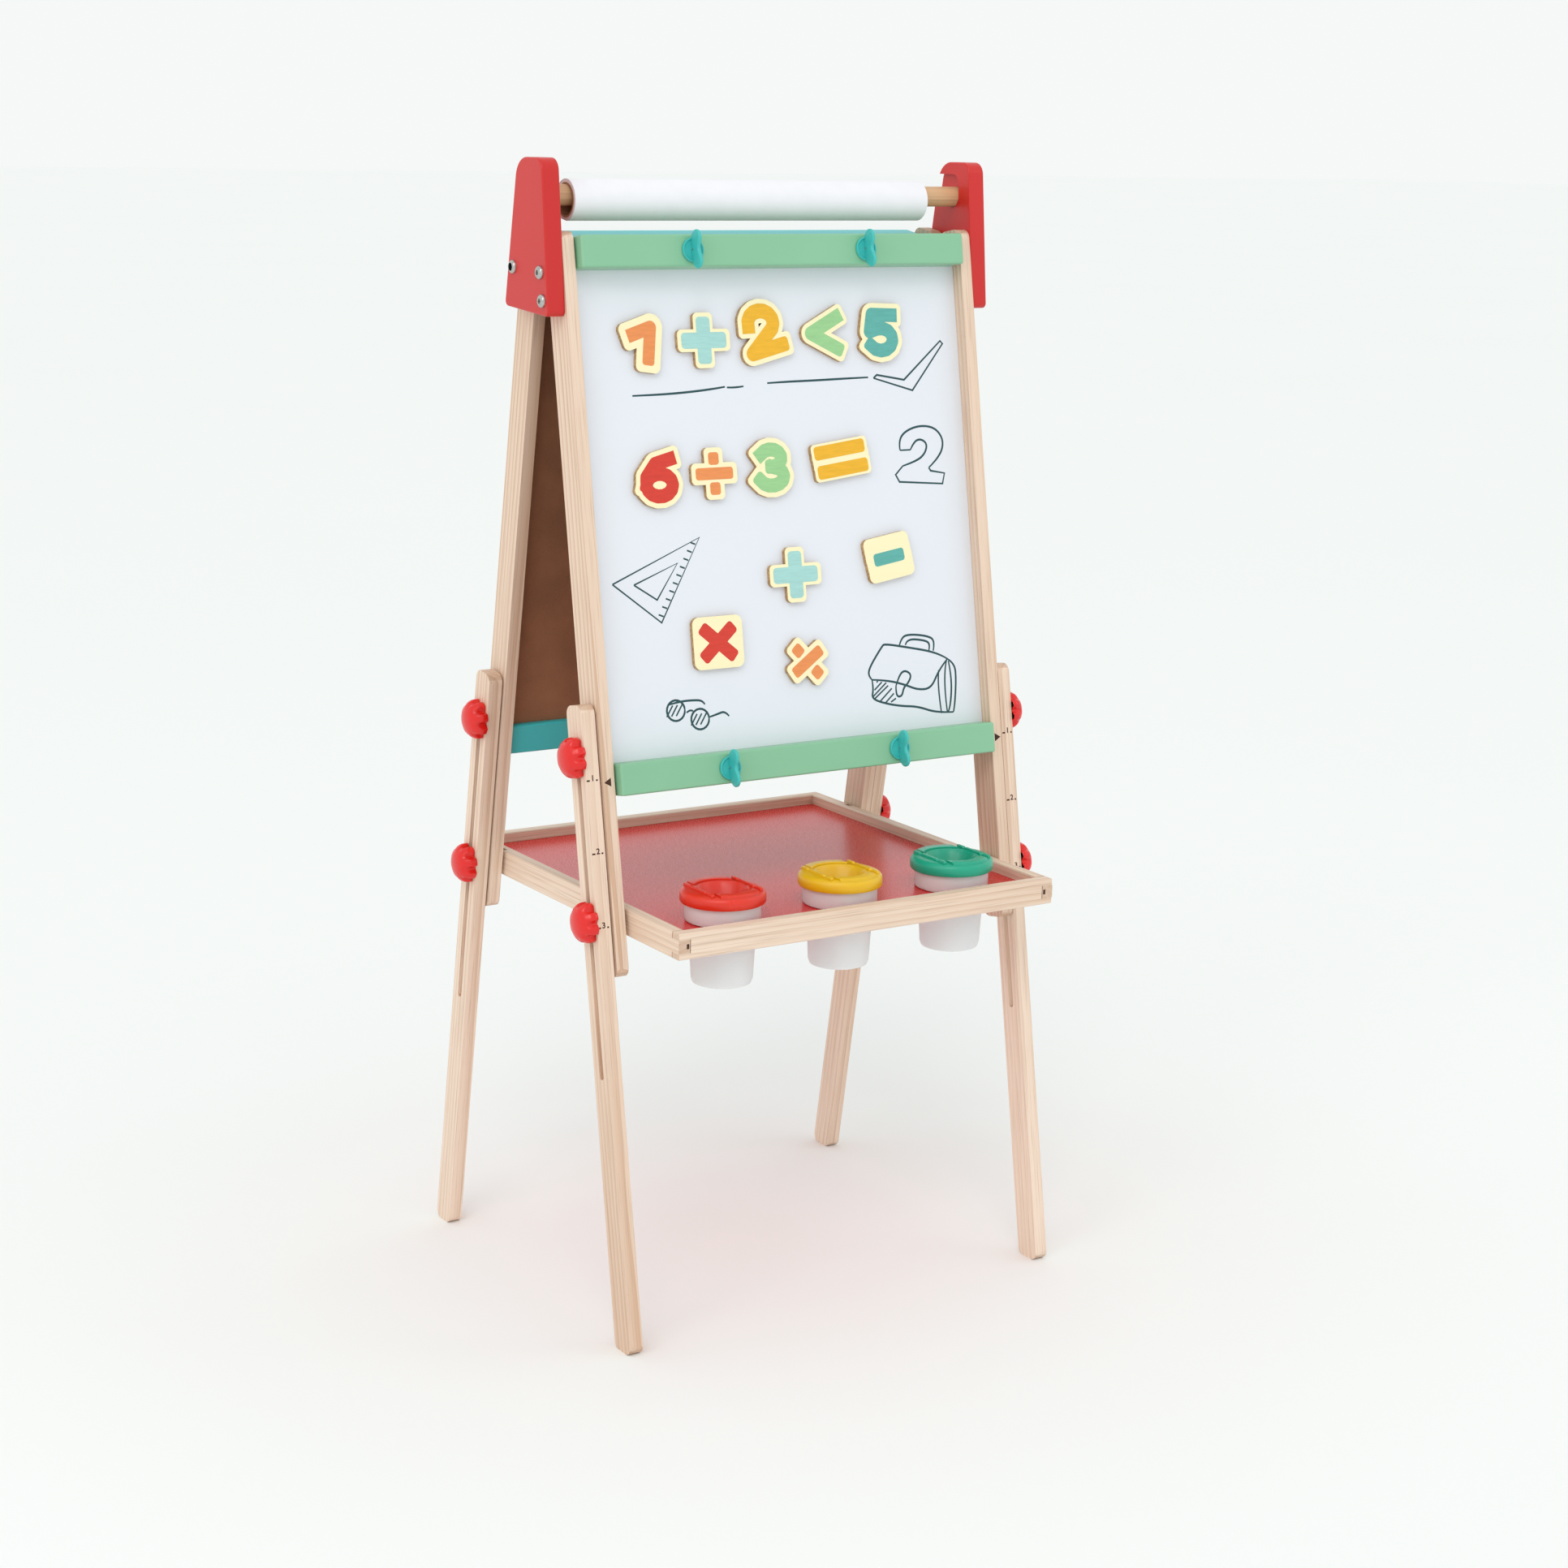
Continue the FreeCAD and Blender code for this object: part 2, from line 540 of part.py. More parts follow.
def cup(x):
    """A tapered cup whose shoulder rests on the tray's panel."""
    neck = CUP_HOLE_R - CUP_HOLE_PLAY
    shoulder = CUP_REST_PLAY
    floor = -CUP_BELOW_PANEL
    wall = CUP_WALL
    return turned([(0, floor, 0), (CUP_BASE_R, floor, 5.0), (neck, shoulder, 0.5),
                   (CUP_SHOULDER_R, shoulder, 2.5), (CUP_SHOULDER_R, CUP_ABOVE_PANEL, 0),
                   (CUP_SHOULDER_R - wall, CUP_ABOVE_PANEL, 0),
                   (CUP_SHOULDER_R - wall, shoulder + wall, 1.0),
                   (neck - wall, shoulder + wall, 0.5),
                   (CUP_BASE_R - wall, floor + wall, 4.0), (0, floor + wall, 0)],
                  (x, CUP_Y, PANEL_TOP))


def lid(x):
    """A no-spill lid: a rounded cap, an open funnel and two ribs that brushes lean on."""
    wall = CUP_WALL
    rim = CUP_ABOVE_PANEL + CUP_REST_PLAY
    low = rim - LID_SKIRT_BELOW_RIM
    high = low + LID_HEIGHT
    skirt = CUP_SHOULDER_R + LID_PLAY
    bottom = high - FUNNEL_DEPTH
    body = turned([(skirt, low, 0), (LID_R, low, 1.0), (LID_R, high, 4.0),
                   (FUNNEL_TOP_R, high, 1.5), (FUNNEL_END_R, bottom, 0),
                   (FUNNEL_END_R + wall, bottom, 0),
                   (FUNNEL_TOP_R + wall, rim, 0.5), (skirt, rim, 0.5)], (x, CUP_Y, PANEL_TOP))
    half_chord = math.sqrt((LID_R - 3) ** 2 - BRUSH_REST_X ** 2)
    ribs = [box((x + sign * BRUSH_REST_X - BRUSH_REST_WIDTH / 2,
                 x + sign * BRUSH_REST_X + BRUSH_REST_WIDTH / 2),
                (CUP_Y - half_chord, CUP_Y + half_chord),
                (PANEL_TOP + high - 1, PANEL_TOP + high + BRUSH_REST_HEIGHT))
            for sign in (-1, 1)]
    return joined([body] + ribs)


# ---------------------------------------------------------------- clips and magnets

def clip(x, down):
    """A paper clip that turns on a front rail: a round base and an upright two-lobed wing."""
    disc_back = -RAIL_PROUD - CLIP_PLAY
    disc_front = disc_back - CLIP_DISC_THICK
    tip = disc_back - CLIP_WING_DEPTH
    half = CLIP_WING_LENGTH / 2
    wing = side_plate([(disc_back - 1, half, 5.0), (tip, half, 6.5), (tip, 5.0, 4.0),
                       (tip + 2.5, 0, 5.0), (tip, -5.0, 4.0), (tip, -half, 6.5),
                       (disc_back - 1, -half, 5.0)], -CLIP_WING_THICK / 2, CLIP_WING_THICK / 2)
    disc = rod(CLIP_DISC_R, (0, disc_back, 0), (0, disc_front, 0))
    disc = eased(disc, 1.0, lambda edge: abs(edge.BoundBox.YMin - disc_front) < 1e-4
                 and edge.BoundBox.YLength < 1e-4)
    pin = clip_pin(0, 0, CLIP_PLAY / 2, BOLT_CLEARANCE)
    shape = joined([disc, wing]).cut(pin)
    shape.translate(V(x, 0, -down))
    return shape


def clip_pin(x, down, play, swell):
    """The pin that a clip turns on, or the bore for it when play and swell are added."""
    start = CLIP_PIN_IN_RAIL - RAIL_PROUD
    end = -RAIL_PROUD - CLIP_PLAY - CLIP_DISC_THICK - CLIP_PIN_IN_WING - play
    return rod(CLIP_PIN_R + swell, (x, start, -down), (x, end, -down))


def arc_points(u, v, radius_u, radius_v, start, end, steps=10):
    """Points along an ellipse's arc, in degrees."""
    angles = [math.radians(start + (end - start) * i / steps) for i in range(steps + 1)]
    return [(u + radius_u * math.cos(a), v + radius_v * math.sin(a)) for a in angles]


# Each figure is centred on (0, 0) and about 1 high: the strokes' centre lines.
FIGURES = {
    "one": [[(-0.24, 0.20), (0.14, 0.34), (0.06, -0.34)]],
    "two": [arc_points(-0.04, 0.20, 0.24, 0.23, 190, -30, 9) + [(-0.26, -0.36), (0.32, -0.24)]],
    "three": [arc_points(0.0, 0.18, 0.21, 0.17, 150, -70, 8) + [(0.0, 0.02)],
              arc_points(0.0, -0.17, 0.24, 0.18, 80, -160, 9)],
    "five": [[(0.26, 0.34), (-0.14, 0.36), (-0.20, 0.03)]
             + arc_points(0.02, -0.13, 0.24, 0.22, 105, -150, 9)],
    "six": [[(0.22, 0.35), (-0.06, 0.27), (-0.24, 0.02), (-0.25, -0.15)]
            + arc_points(0.0, -0.14, 0.25, 0.22, 180, 540, 14)],
    "plus": [[(-0.35, 0.0), (0.35, 0.0)], [(0.0, -0.35), (0.0, 0.35)]],
    "times": [[(-0.22, 0.20), (0.22, 0.20)], [(-0.22, -0.20), (0.22, -0.20)],
              [(-0.14, 0.0), (0.14, 0.0)]],
    "divide": [[(-0.30, 0.0), (0.30, 0.0)], [(0.0, 0.34), (0.0, -0.34)]],
    "equals": [[(-0.50, 0.22), (0.50, 0.22)], [(-0.50, -0.22), (0.50, -0.22)],
               [(-0.50, 0.0), (0.50, 0.0)]],
    "minus": [[(-0.28, 0.20), (0.28, 0.20)], [(-0.28, -0.20), (0.28, -0.20)],
              [(-0.28, 0.0), (0.28, 0.0)]],
    "less": [[(0.30, 0.34), (-0.28, 0.0), (0.30, -0.34)]],
}

# name: (figure, x, distance down the frame, height of the printed figure, turn, border)
MAGNETS = {
    "one": ("one", -139.9, 100.5, 41.0, 0, 6.5),
    "plus_top": ("plus", -77.7, 99.3, 43.0, 0, 3.8),
    "two": ("two", -12.6, 94.4, 49.0, 4, 3.8),
    "less": ("less", 52.8, 95.5, 43.0, 0, 3.8),
    "five": ("five", 116.2, 96.5, 48.0, 0, 3.8),
    "six": ("six", -135.1, 221.9, 47.0, 0, 3.8),
    "divide_upper": ("divide", -76.7, 220.7, 41.0, 0, 3.8),
    "three": ("three", -15.0, 218.0, 48.0, 0, 3.8),
    "equals": ("equals", 63.1, 213.5, 38.0, 8, 3.8),
    "plus_middle": ("plus", 3.5, 318.6, 44.0, 0, 3.8),
    "minus": ("minus", 109.9, 308.8, 38.0, 10, 8.0),
    "times": ("times", -85.4, 375.1, 42.0, 0, 9.5),
    "divide_lower": ("divide", 10.2, 400.5, 41.0, 38, 3.8),
}


def stroke_bar(start, end, half, ends, face):
    """A straight run of a stroke. A listed end is drawn out by half the width and rounded."""
    run = end - start
    low, high = (half if is_end else 0.0 for is_end in ends)
    low_round, high_round = low * STROKE_END_ROUND, high * STROKE_END_ROUND
    right = run.Length + high
    corners = [(-low, -half, low_round), (right, -half, high_round),
               (right, half, high_round), (-low, half, low_round)]
    wire = rounded_wire(corners, lambda p: V(p.x, face, p.y))
    bar = Part.Face(wire).extrude(V(0, -MAGNET_THICK, 0))
    bar.rotate(V(0, face, 0), V(0, 1, 0), -math.degrees(math.atan2(run.z, run.x)))
    bar.translate(V(start.x, 0, start.z))
    return bar


def magnet(figure, x, down, height, turn, border):
    """A magnetic tile: the figure's strokes, widened by a border and joined."""
    half = STROKE * height / 2 + border
    face = BOARD_RECESS - MAGNET_PLAY
    angle = math.radians(turn)
    pieces = []
    for stroke in FIGURES[figure]:
        points = []
        for u, v in stroke:
            across, up = u * height, v * height
            turned_across = across * math.cos(angle) - up * math.sin(angle)
            turned_up = across * math.sin(angle) + up * math.cos(angle)
            points.append(V(turned_across * FIGURE_STRETCH, 0, turned_up))
        for point in points[1:-1]:
            pieces.append(rod(half, (point.x, face, point.z),
                              (point.x, face - MAGNET_THICK, point.z)))
        last = len(points) - 2
        for index, (start, end) in enumerate(zip(points, points[1:])):
            pieces.append(stroke_bar(start, end, half, (index == 0, index == last), face))
    tile = joined(pieces)
    tile.translate(V(x, 0, -down))
    return tile


# ---------------------------------------------------------------- the whole easel

def both(shape):
    """A right-hand shape and its mirror image, in one group of separate solids."""
    return Part.Compound([shape, mirrored_x(shape)])


def frame_nodes(side):
    """The nodes of one leaning frame with its legs, bolts and knobs."""
    nodes = {}
    pairs = {f"{side}_upright": upright(side), f"{side}_leg": leg(side)}
    for name, shape in pairs.items():
        nodes[f"{name}_right"] = shape
        nodes[f"{name}_left"] = mirrored_x(shape)
    nodes[f"{side}_rail_top"] = rail(side, TOP_RAIL_DOWN)
    nodes[f"{side}_rail_bottom"] = rail(side, BOTTOM_RAIL_DOWN)
    bolts = []
    for level, down in (("upper", UPPER_BOLT_DOWN), ("lower", LOWER_BOLT_DOWN)):
        bolts.append(both(leg_bolt(side, down)))
        grip = knob(side, down)
        nodes[f"knob_{side}_right_{level}"] = grip
        nodes[f"knob_{side}_left_{level}"] = mirrored_x(grip)
    nodes[f"{side}_leg_bolts"] = Part.Compound(bolts)
    return {name: stand(shape, side) for name, shape in nodes.items()}


def easel_nodes():
    """Every node of the easel, by name."""
    nodes = {}
    for side in SIDES:
        nodes.update(frame_nodes(side))
    nodes["whiteboard"] = stand(board("front"), "front")
    nodes["chalkboard"] = stand(board("rear"), "rear")
    plate = cheek()
    nodes["cheek_right"] = plate
    nodes["cheek_left"] = mirrored_x(plate)
    fixed = [both(cheek_bolt(y, z, outer_x("front"))) for y, z in cheek_bolt_places()]
    nodes["cheek_bolts"] = Part.Compound(fixed)
    nodes["pivot_bolts"] = both(cheek_bolt(PIVOT_Y, PIVOT_Z, outer_x("rear")))
    nodes["roll_dowel"] = roll_dowel()
    core_r = CORE_BORE_R + CORE_WALL
    nodes["roll_core"] = roll_sleeve(CORE_BORE_R, core_r, ROLL_LENGTH / 2 + CORE_OVERHANG)
    nodes["paper_roll"] = roll_sleeve(core_r, ROLL_R, ROLL_LENGTH / 2)
    nodes["tray_rail_front"] = tray_end(TRAY_FRONT_Y)
    nodes["tray_rail_rear"] = tray_end(TRAY_REAR_Y - TRAY_RAIL_THICK)
    side_rail = tray_side()
    nodes["tray_rail_right"] = side_rail
    nodes["tray_rail_left"] = mirrored_x(side_rail)
    nodes["tray_panel"] = tray_panel()
    for name, x in cup_places().items():
        nodes[f"cup_{name}"] = cup(x)
        nodes[f"lid_{name}"] = lid(x)
    pins = []
    for level, down in (("top", TOP_RAIL_DOWN), ("bottom", BOTTOM_RAIL_DOWN)):
        middle = down + RAIL_HEIGHT / 2
        for hand, x in (("left", -CLIP_X), ("right", CLIP_X)):
            nodes[f"clip_{level}_{hand}"] = stand(clip(x, middle), "front")
            pins.append(stand(clip_pin(x, middle, 0.0, 0.0), "front"))
    nodes["clip_pins"] = Part.Compound(pins)
    for name, values in MAGNETS.items():
        nodes[f"magnet_{name}"] = stand(magnet(*values), "front")
    return nodes


def export(nodes):
    """Centre the easel over the origin and write each node."""
    whole = FreeCAD.BoundBox()
    for shape in nodes.values():
        whole.add(shape.BoundBox)
    shift = V(0, -(whole.YMin + whole.YMax) / 2, 0)
    print(f"{len(nodes)} nodes, moved {shift.y:.3f} along y, lowest point {whole.ZMin:.3f}")
    print(f"size {whole.XLength:.1f} x {whole.YLength:.1f} x {whole.ZLength:.1f}")
    for name, shape in nodes.items():
        moved = shape.copy()
        moved.translate(shift)
        moved.exportStep(f"parts/{name}.step")


export(easel_nodes())
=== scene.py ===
import json
from math import atan2, cos, hypot, pi, radians, sin

import bmesh
import bpy
from bpy.props import FloatProperty, FloatVectorProperty, IntProperty, PointerProperty
from mathutils import Matrix, Vector


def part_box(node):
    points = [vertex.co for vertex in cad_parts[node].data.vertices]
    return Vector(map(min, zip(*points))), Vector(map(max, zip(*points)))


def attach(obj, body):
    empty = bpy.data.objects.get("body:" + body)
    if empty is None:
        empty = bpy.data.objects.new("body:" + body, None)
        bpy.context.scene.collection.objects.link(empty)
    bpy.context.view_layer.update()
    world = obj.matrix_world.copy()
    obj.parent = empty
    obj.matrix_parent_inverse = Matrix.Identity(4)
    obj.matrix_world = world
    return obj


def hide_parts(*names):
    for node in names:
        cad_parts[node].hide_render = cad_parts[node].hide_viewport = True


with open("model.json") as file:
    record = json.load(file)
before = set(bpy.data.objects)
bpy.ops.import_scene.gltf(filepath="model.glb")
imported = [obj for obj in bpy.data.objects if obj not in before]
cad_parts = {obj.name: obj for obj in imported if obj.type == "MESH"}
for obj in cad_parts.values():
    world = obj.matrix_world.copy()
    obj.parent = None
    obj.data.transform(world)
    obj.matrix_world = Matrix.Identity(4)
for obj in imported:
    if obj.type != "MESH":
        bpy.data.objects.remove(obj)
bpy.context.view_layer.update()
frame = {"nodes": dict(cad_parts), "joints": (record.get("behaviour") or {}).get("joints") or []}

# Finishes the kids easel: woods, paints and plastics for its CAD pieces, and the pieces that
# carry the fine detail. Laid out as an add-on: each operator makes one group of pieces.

bl_info = {
    "name": "Kids easel pieces",
    "version": (1, 0, 0),
    "blender": (4, 5, 0),
    "location": "View3D > Sidebar > Easel",
    "description": "Makes the detailed pieces and finishes of a kids easel",
    "category": "Object",
}

MM = 0.001
JOINTS = {joint["name"]: joint for joint in frame["joints"]}
NODES = frame["nodes"]

# The front frame's own directions: up along its uprights, and straight back into it.
UP = Vector(JOINTS["front_leg_left_slide"]["axis"]).normalized()
BACK = Vector((0, UP.z, -UP.y))
LEAN = atan2(UP.y, UP.z)
LOWER_BOLT_DOWN = 616 * MM
BOLT_SETBACK = 16 * MM
LOWER_BOLT = Vector((0, *JOINTS["tray_fold"]["pos_m"][1:]))
FRAME_TOP = LOWER_BOLT + UP * LOWER_BOLT_DOWN - BACK * BOLT_SETBACK
MIDDLE_Y = (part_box("front_leg_left")[0][1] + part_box("rear_leg_left")[1][1]) / 2
BOARD_FACE = 14.1 * MM          # behind the uprights' faces
HAIR = 0.03 * MM                # how far ink stands off the face that it lies on


def paint(red, green, blue):
    """A linear colour from the usual 0 to 255 values."""
    def linear(value):
        share = value / 255
        return share / 12.92 if share <= 0.04045 else ((share + 0.055) / 1.055) ** 2.4
    return (linear(red), linear(green), linear(blue))


def colour(name, what, default):
    return FloatVectorProperty(name=name, description=what, default=default, size=3,
                               subtype="COLOR", min=0.0, max=1.0)


def length(name, what, default):
    return FloatProperty(name=name, description=what, default=default, min=0.0,
                         subtype="DISTANCE", unit="LENGTH", precision=4)


class EaselSizes(bpy.types.PropertyGroup):
    """Sizes of the detailed pieces."""
    knob_radius: length("Knob radius", "Outer radius of a grip knob", 19.0 * MM)
    knob_height: length("Knob height", "Height of a grip knob over its skirt", 16.0 * MM)
    knob_lobes: IntProperty(name="Knob lobes", description="Lobes round a grip knob",
                            default=8, min=3, max=16)
    knob_flute: length("Knob flute", "Depth of the hollow between two lobes", 4.0 * MM)
    head_radius: length("Bolt head", "Radius of a cheek bolt's head", 6.0 * MM)
    clip_radius: length("Clip base", "Radius of a paper clip's round base", 11.0 * MM)
    ink_thickness: length("Print", "Thickness of the print on a magnet", 0.12 * MM)
    marker_width: length("Marker line", "Width of a marker line", 2.1 * MM)
    mark_height: length("Height numbers", "Height of the numbers on the legs", 5.2 * MM)


class EaselColours(bpy.types.PropertyGroup):
    """Colours of the finishes."""
    pine: colour("Pine", "Pale sapwood", paint(243, 221, 202))
    pine_line: colour("Pine grain", "Late wood lines", paint(198, 154, 118))
    beech: colour("Beech", "Turned dowel", paint(222, 180, 136))
    red_paint: colour("Red paint", "Cheeks", paint(206, 26, 22))
    green_paint: colour("Green paint", "Front rails", paint(136, 194, 156))
    teal_paint: colour("Teal paint", "Rear rails", paint(66, 200, 204))
    board_white: colour("Whiteboard", "Dry-wipe face", paint(228, 232, 240))
    board_black: colour("Chalkboard", "Chalk face", paint(38, 42, 42))
    board_back: colour("Hardboard", "Bare back of a board", paint(150, 103, 73))
    panel: colour("Tray panel", "Glossy tray floor", paint(218, 32, 32))
    knob: colour("Knob", "Grip knobs", paint(226, 30, 26))
    clip: colour("Clip", "Paper clips", paint(64, 190, 186))
    lid_left: colour("Left lid", "Left paint cup's lid", paint(236, 52, 30))
    lid_middle: colour("Middle lid", "Middle paint cup's lid", paint(246, 196, 20))
    lid_right: colour("Right lid", "Right paint cup's lid", paint(24, 176, 142))
    cup: colour("Cup", "Frosted cups", paint(254, 254, 255))
    paper: colour("Paper", "Drawing paper", paint(238, 238, 243))
    card: colour("Card", "Roll core", paint(170, 132, 96))
    zinc: colour("Zinc", "Bolts and washers", paint(196, 196, 192))
    tile: colour("Magnet face", "Cream face of a magnet", paint(250, 241, 196))
    marker: colour("Marker", "Dry-wipe marker ink", paint(24, 74, 80))
    burnt: colour("Burnt marks", "Height marks", paint(74, 40, 26))


INKS = {
    "orange": paint(238, 146, 82),
    "pale_blue": paint(168, 217, 212),
    "yellow": paint(242, 182, 32),
    "green": paint(156, 209, 146),
    "teal": paint(92, 176, 168),
    "red": paint(218, 56, 38),
}


# ---------------------------------------------------------------- materials

class Finish:
    """A material's node tree, with short ways to add and join its nodes."""

    def __init__(self, name, **settings):
        self.material = bpy.data.materials.new(name)
        self.material.use_nodes = True
        self.nodes = self.material.node_tree.nodes
        self.links = self.material.node_tree.links
        self.shader = self.nodes["Principled BSDF"]
        for key, value in settings.items():
            self.set(key.replace("_", " ").title().replace("Ior", "IOR"), value)
        self.place = self.add("ShaderNodeTexCoord").outputs["Object"]

    def set(self, socket, value):
        """A shader socket's value, or what feeds it."""
        target = self.shader.inputs[socket]
        if isinstance(value, bpy.types.NodeSocket):
            self.links.new(value, target)
        else:
            target.default_value = (*value, 1) if target.type == "RGBA" else value

    def add(self, kind, feeds=None, **settings):
        node = self.nodes.new(kind)
        for key, value in settings.items():
            setattr(node, key, value)
        for key, value in (feeds or {}).items():
            if isinstance(value, bpy.types.NodeSocket):
                self.links.new(value, node.inputs[key])
            else:
                node.inputs[key].default_value = value
        return node

    def mapped(self, scale=(1, 1, 1), turn=(0, 0, 0), shift=(0, 0, 0)):
        """Object coordinates, turned and scaled."""
        turned = self.add("ShaderNodeMapping", {"Vector": self.place, "Rotation": turn,
                                                "Location": shift})
        scaled = self.add("ShaderNodeMapping", {"Vector": turned.outputs[0], "Scale": scale})
        return scaled.outputs[0]

    def noise(self, where, scale, detail=3.0, rough=0.5):
        return self.add("ShaderNodeTexNoise", {"Vector": where, "Scale": scale, "Detail": detail,
                                               "Roughness": rough}).outputs["Fac"]

    def remap(self, value, low, high, to_low=0.0, to_high=1.0):
        """A number moved from one range to another, held inside it."""
        return self.add("ShaderNodeMapRange", {0: value, 1: low, 2: high, 3: to_low,
                                               4: to_high}).outputs[0]

    def blend(self, share, first, second):
        """One colour blended into another by a share from 0 to 1."""
        first, second = (tone if isinstance(tone, bpy.types.NodeSocket) else (*tone, 1)
                         for tone in (first, second))
        return self.add("ShaderNodeMix", {0: share, 6: first, 7: second},
                        data_type="RGBA").outputs[2]

    def maths(self, operation, first, second=0.0):
        return self.add("ShaderNodeMath", {0: first, 1: second}, operation=operation).outputs[0]

    def bump(self, height, distance, strength=1.0):
        node = self.add("ShaderNodeBump", {"Height": height, "Distance": distance,
                                           "Strength": strength})
        self.set("Normal", node.outputs[0])

    def tint(self, value, low, high, first, second, most=1.0):
        """A base colour that goes from one tone towards another as a number rises."""
        self.set("Base Color", self.blend(self.remap(value, low, high, 0.0, most), first, second))

    def roughen(self, value, low, high, least, most):
        """A roughness that follows a number."""
        self.set("Roughness", self.remap(value, low, high, least, most))

    def facing(self, direction):
        """1 where the surface faces that way in the object's own directions, else 0."""
        normal = self.add("ShaderNodeTexCoord").outputs["Normal"]
        dot = self.add("ShaderNodeVectorMath", {0: normal, 1: direction},
                       operation="DOT_PRODUCT").outputs["Value"]
        return self.remap(dot, 0.45, 0.55)


def darker(tone, share):
    return tuple(channel * share for channel in tone)


def pine_finish(name, turn, shift, tones, warmth=0.5):
    """Pale pine: growth lines, streaks and pores that run along the piece, under thin varnish.
    turn brings the piece's length onto Z, and its ends show the rings in a deeper tone."""
    finish = Finish(name, coat_weight=0.12, coat_roughness=0.35)
    lengthways = Vector((0, 0, 1))
    lengthways.rotate(Matrix.Rotation(-turn[0], 3, "X") if turn[0] else
                      Matrix.Rotation(-turn[1], 3, "Y"))
    ends = finish.maths("ADD", finish.facing(tuple(lengthways)), finish.facing(tuple(-lengthways)))
    wander = finish.noise(finish.mapped((1, 1, 0.12), turn, shift), 11.0, 3.0)
    stretched = finish.mapped((1, 1, 0.035), turn, shift)
    rings = finish.add("ShaderNodeTexWave", {
        "Vector": stretched, "Scale": 52.0, "Distortion": 6.5, "Detail": 2.0,
        "Detail Scale": 0.7, "Detail Roughness": 0.5}, wave_type="RINGS", rings_direction="Z",
        wave_profile="SAW").outputs["Fac"]
    late = finish.remap(rings, 0.35, 1.0)
    late = finish.maths("MULTIPLY", late, finish.remap(wander, 0.36, 0.6, 0.2, 0.9))
    pores = finish.noise(finish.mapped((1, 1, 0.014), turn, shift), 850.0, 2.0, 0.6)
    base = finish.blend(finish.remap(wander, 0.3, 0.7), tones[0], finish.blend(
        0.3 + 0.25 * warmth, tones[0], tones[1]))
    grained = finish.blend(finish.maths("MULTIPLY", late, 0.68), base, tones[1])
    streak = finish.remap(pores, 0.52, 0.7, 0.0, 0.4)
    grained = finish.blend(streak, grained, darker(tones[1], 0.7))
    deep = finish.blend(0.5, tones[1], darker(tones[1], 0.6))
    finish.set("Base Color", finish.blend(finish.maths("MULTIPLY", ends, 0.42), grained, deep))
    finish.roughen(pores, 0.3, 0.7, 0.42, 0.6)
    finish.bump(finish.maths("ADD", finish.maths("MULTIPLY", pores, 0.7), late), 0.00006, 0.7)
    return finish.material


def painted_finish(name, tone, turn=(0, 0, 0), gloss=0.34):
    """Brushed satin paint over wood: a faint grain, tiny dimples and a drift of tone."""
    finish = Finish(name, coat_weight=0.1, coat_roughness=0.22)
    drift = finish.noise(finish.place, 7.0, 2.0)
    grain = finish.noise(finish.mapped((1, 1, 0.03), turn), 700.0, 2.0)
    peel = finish.noise(finish.place, 900.0, 1.0)
    finish.tint(drift, 0.3, 0.7, tone, darker(tone, 0.86), 0.5)
    finish.roughen(peel, 0.2, 0.8, gloss, gloss + 0.12)
    finish.bump(finish.maths("ADD", finish.maths("MULTIPLY", grain, 0.5), peel), 0.00004, 0.6)
    return finish.material


def board_finish(name, face, back, outward, chalky):
    """A hardboard sheet: a coated face and a bare fibrous brown back."""
    finish = Finish(name)
    is_face = finish.facing(outward)
    fibres = finish.noise(finish.place, 1400.0, 3.0, 0.65)
    blotch = finish.noise(finish.place, 22.0, 4.0)
    brown = finish.blend(finish.remap(fibres, 0.35, 0.65), darker(back, 0.72), back)
    brown = finish.blend(finish.remap(blotch, 0.35, 0.7, 0.0, 0.5), brown, darker(back, 1.35))
    wiped = finish.noise(finish.mapped((0.35, 1, 1.6), (0.4, 0, 0.5)), 14.0, 6.0, 0.62)
    if chalky:
        coated = finish.blend(finish.remap(wiped, 0.5, 0.85, 0.0, 0.16), face, (0.6, 0.6, 0.6))
        shine = finish.remap(wiped, 0.3, 0.8, 0.62, 0.8)
    else:
        coated = finish.blend(finish.remap(wiped, 0.5, 0.9, 0.0, 0.12), face,
                              darker(face, 0.9))
        shine = finish.remap(wiped, 0.3, 0.8, 0.16, 0.3)
    bare = finish.maths("SUBTRACT", 1.0, is_face)
    finish.set("Base Color", finish.blend(is_face, brown, coated))
    finish.set("Roughness", finish.maths("ADD", finish.maths("MULTIPLY", is_face, shine),
                                         finish.maths("MULTIPLY", bare, 0.85)))
    height = finish.maths("MULTIPLY", fibres, finish.maths("ADD", bare, 0.08))
    finish.bump(height, 0.0003 if chalky else 0.00025, 0.5)
    return finish.material


def moulded_finish(name, tone, gloss=0.2, soft=0.08, clear=0.0):
    """Injection-moulded plastic with a very fine skin texture and a little depth."""
    finish = Finish(name, specular_ior_level=0.5, subsurface_weight=soft,
                    subsurface_scale=0.004, transmission_weight=clear)
    finish.set("Subsurface Radius", (1.0, 0.6, 0.5))
    skin = finish.noise(finish.place, 1600.0, 2.0)
    flow = finish.noise(finish.place, 38.0, 2.0)
    finish.tint(flow, 0.3, 0.7, tone, darker(tone, 0.9), 0.4)
    finish.roughen(flow, 0.25, 0.75, gloss, gloss + 0.09)
    finish.bump(skin, 0.00002, 0.5)
    return finish.material


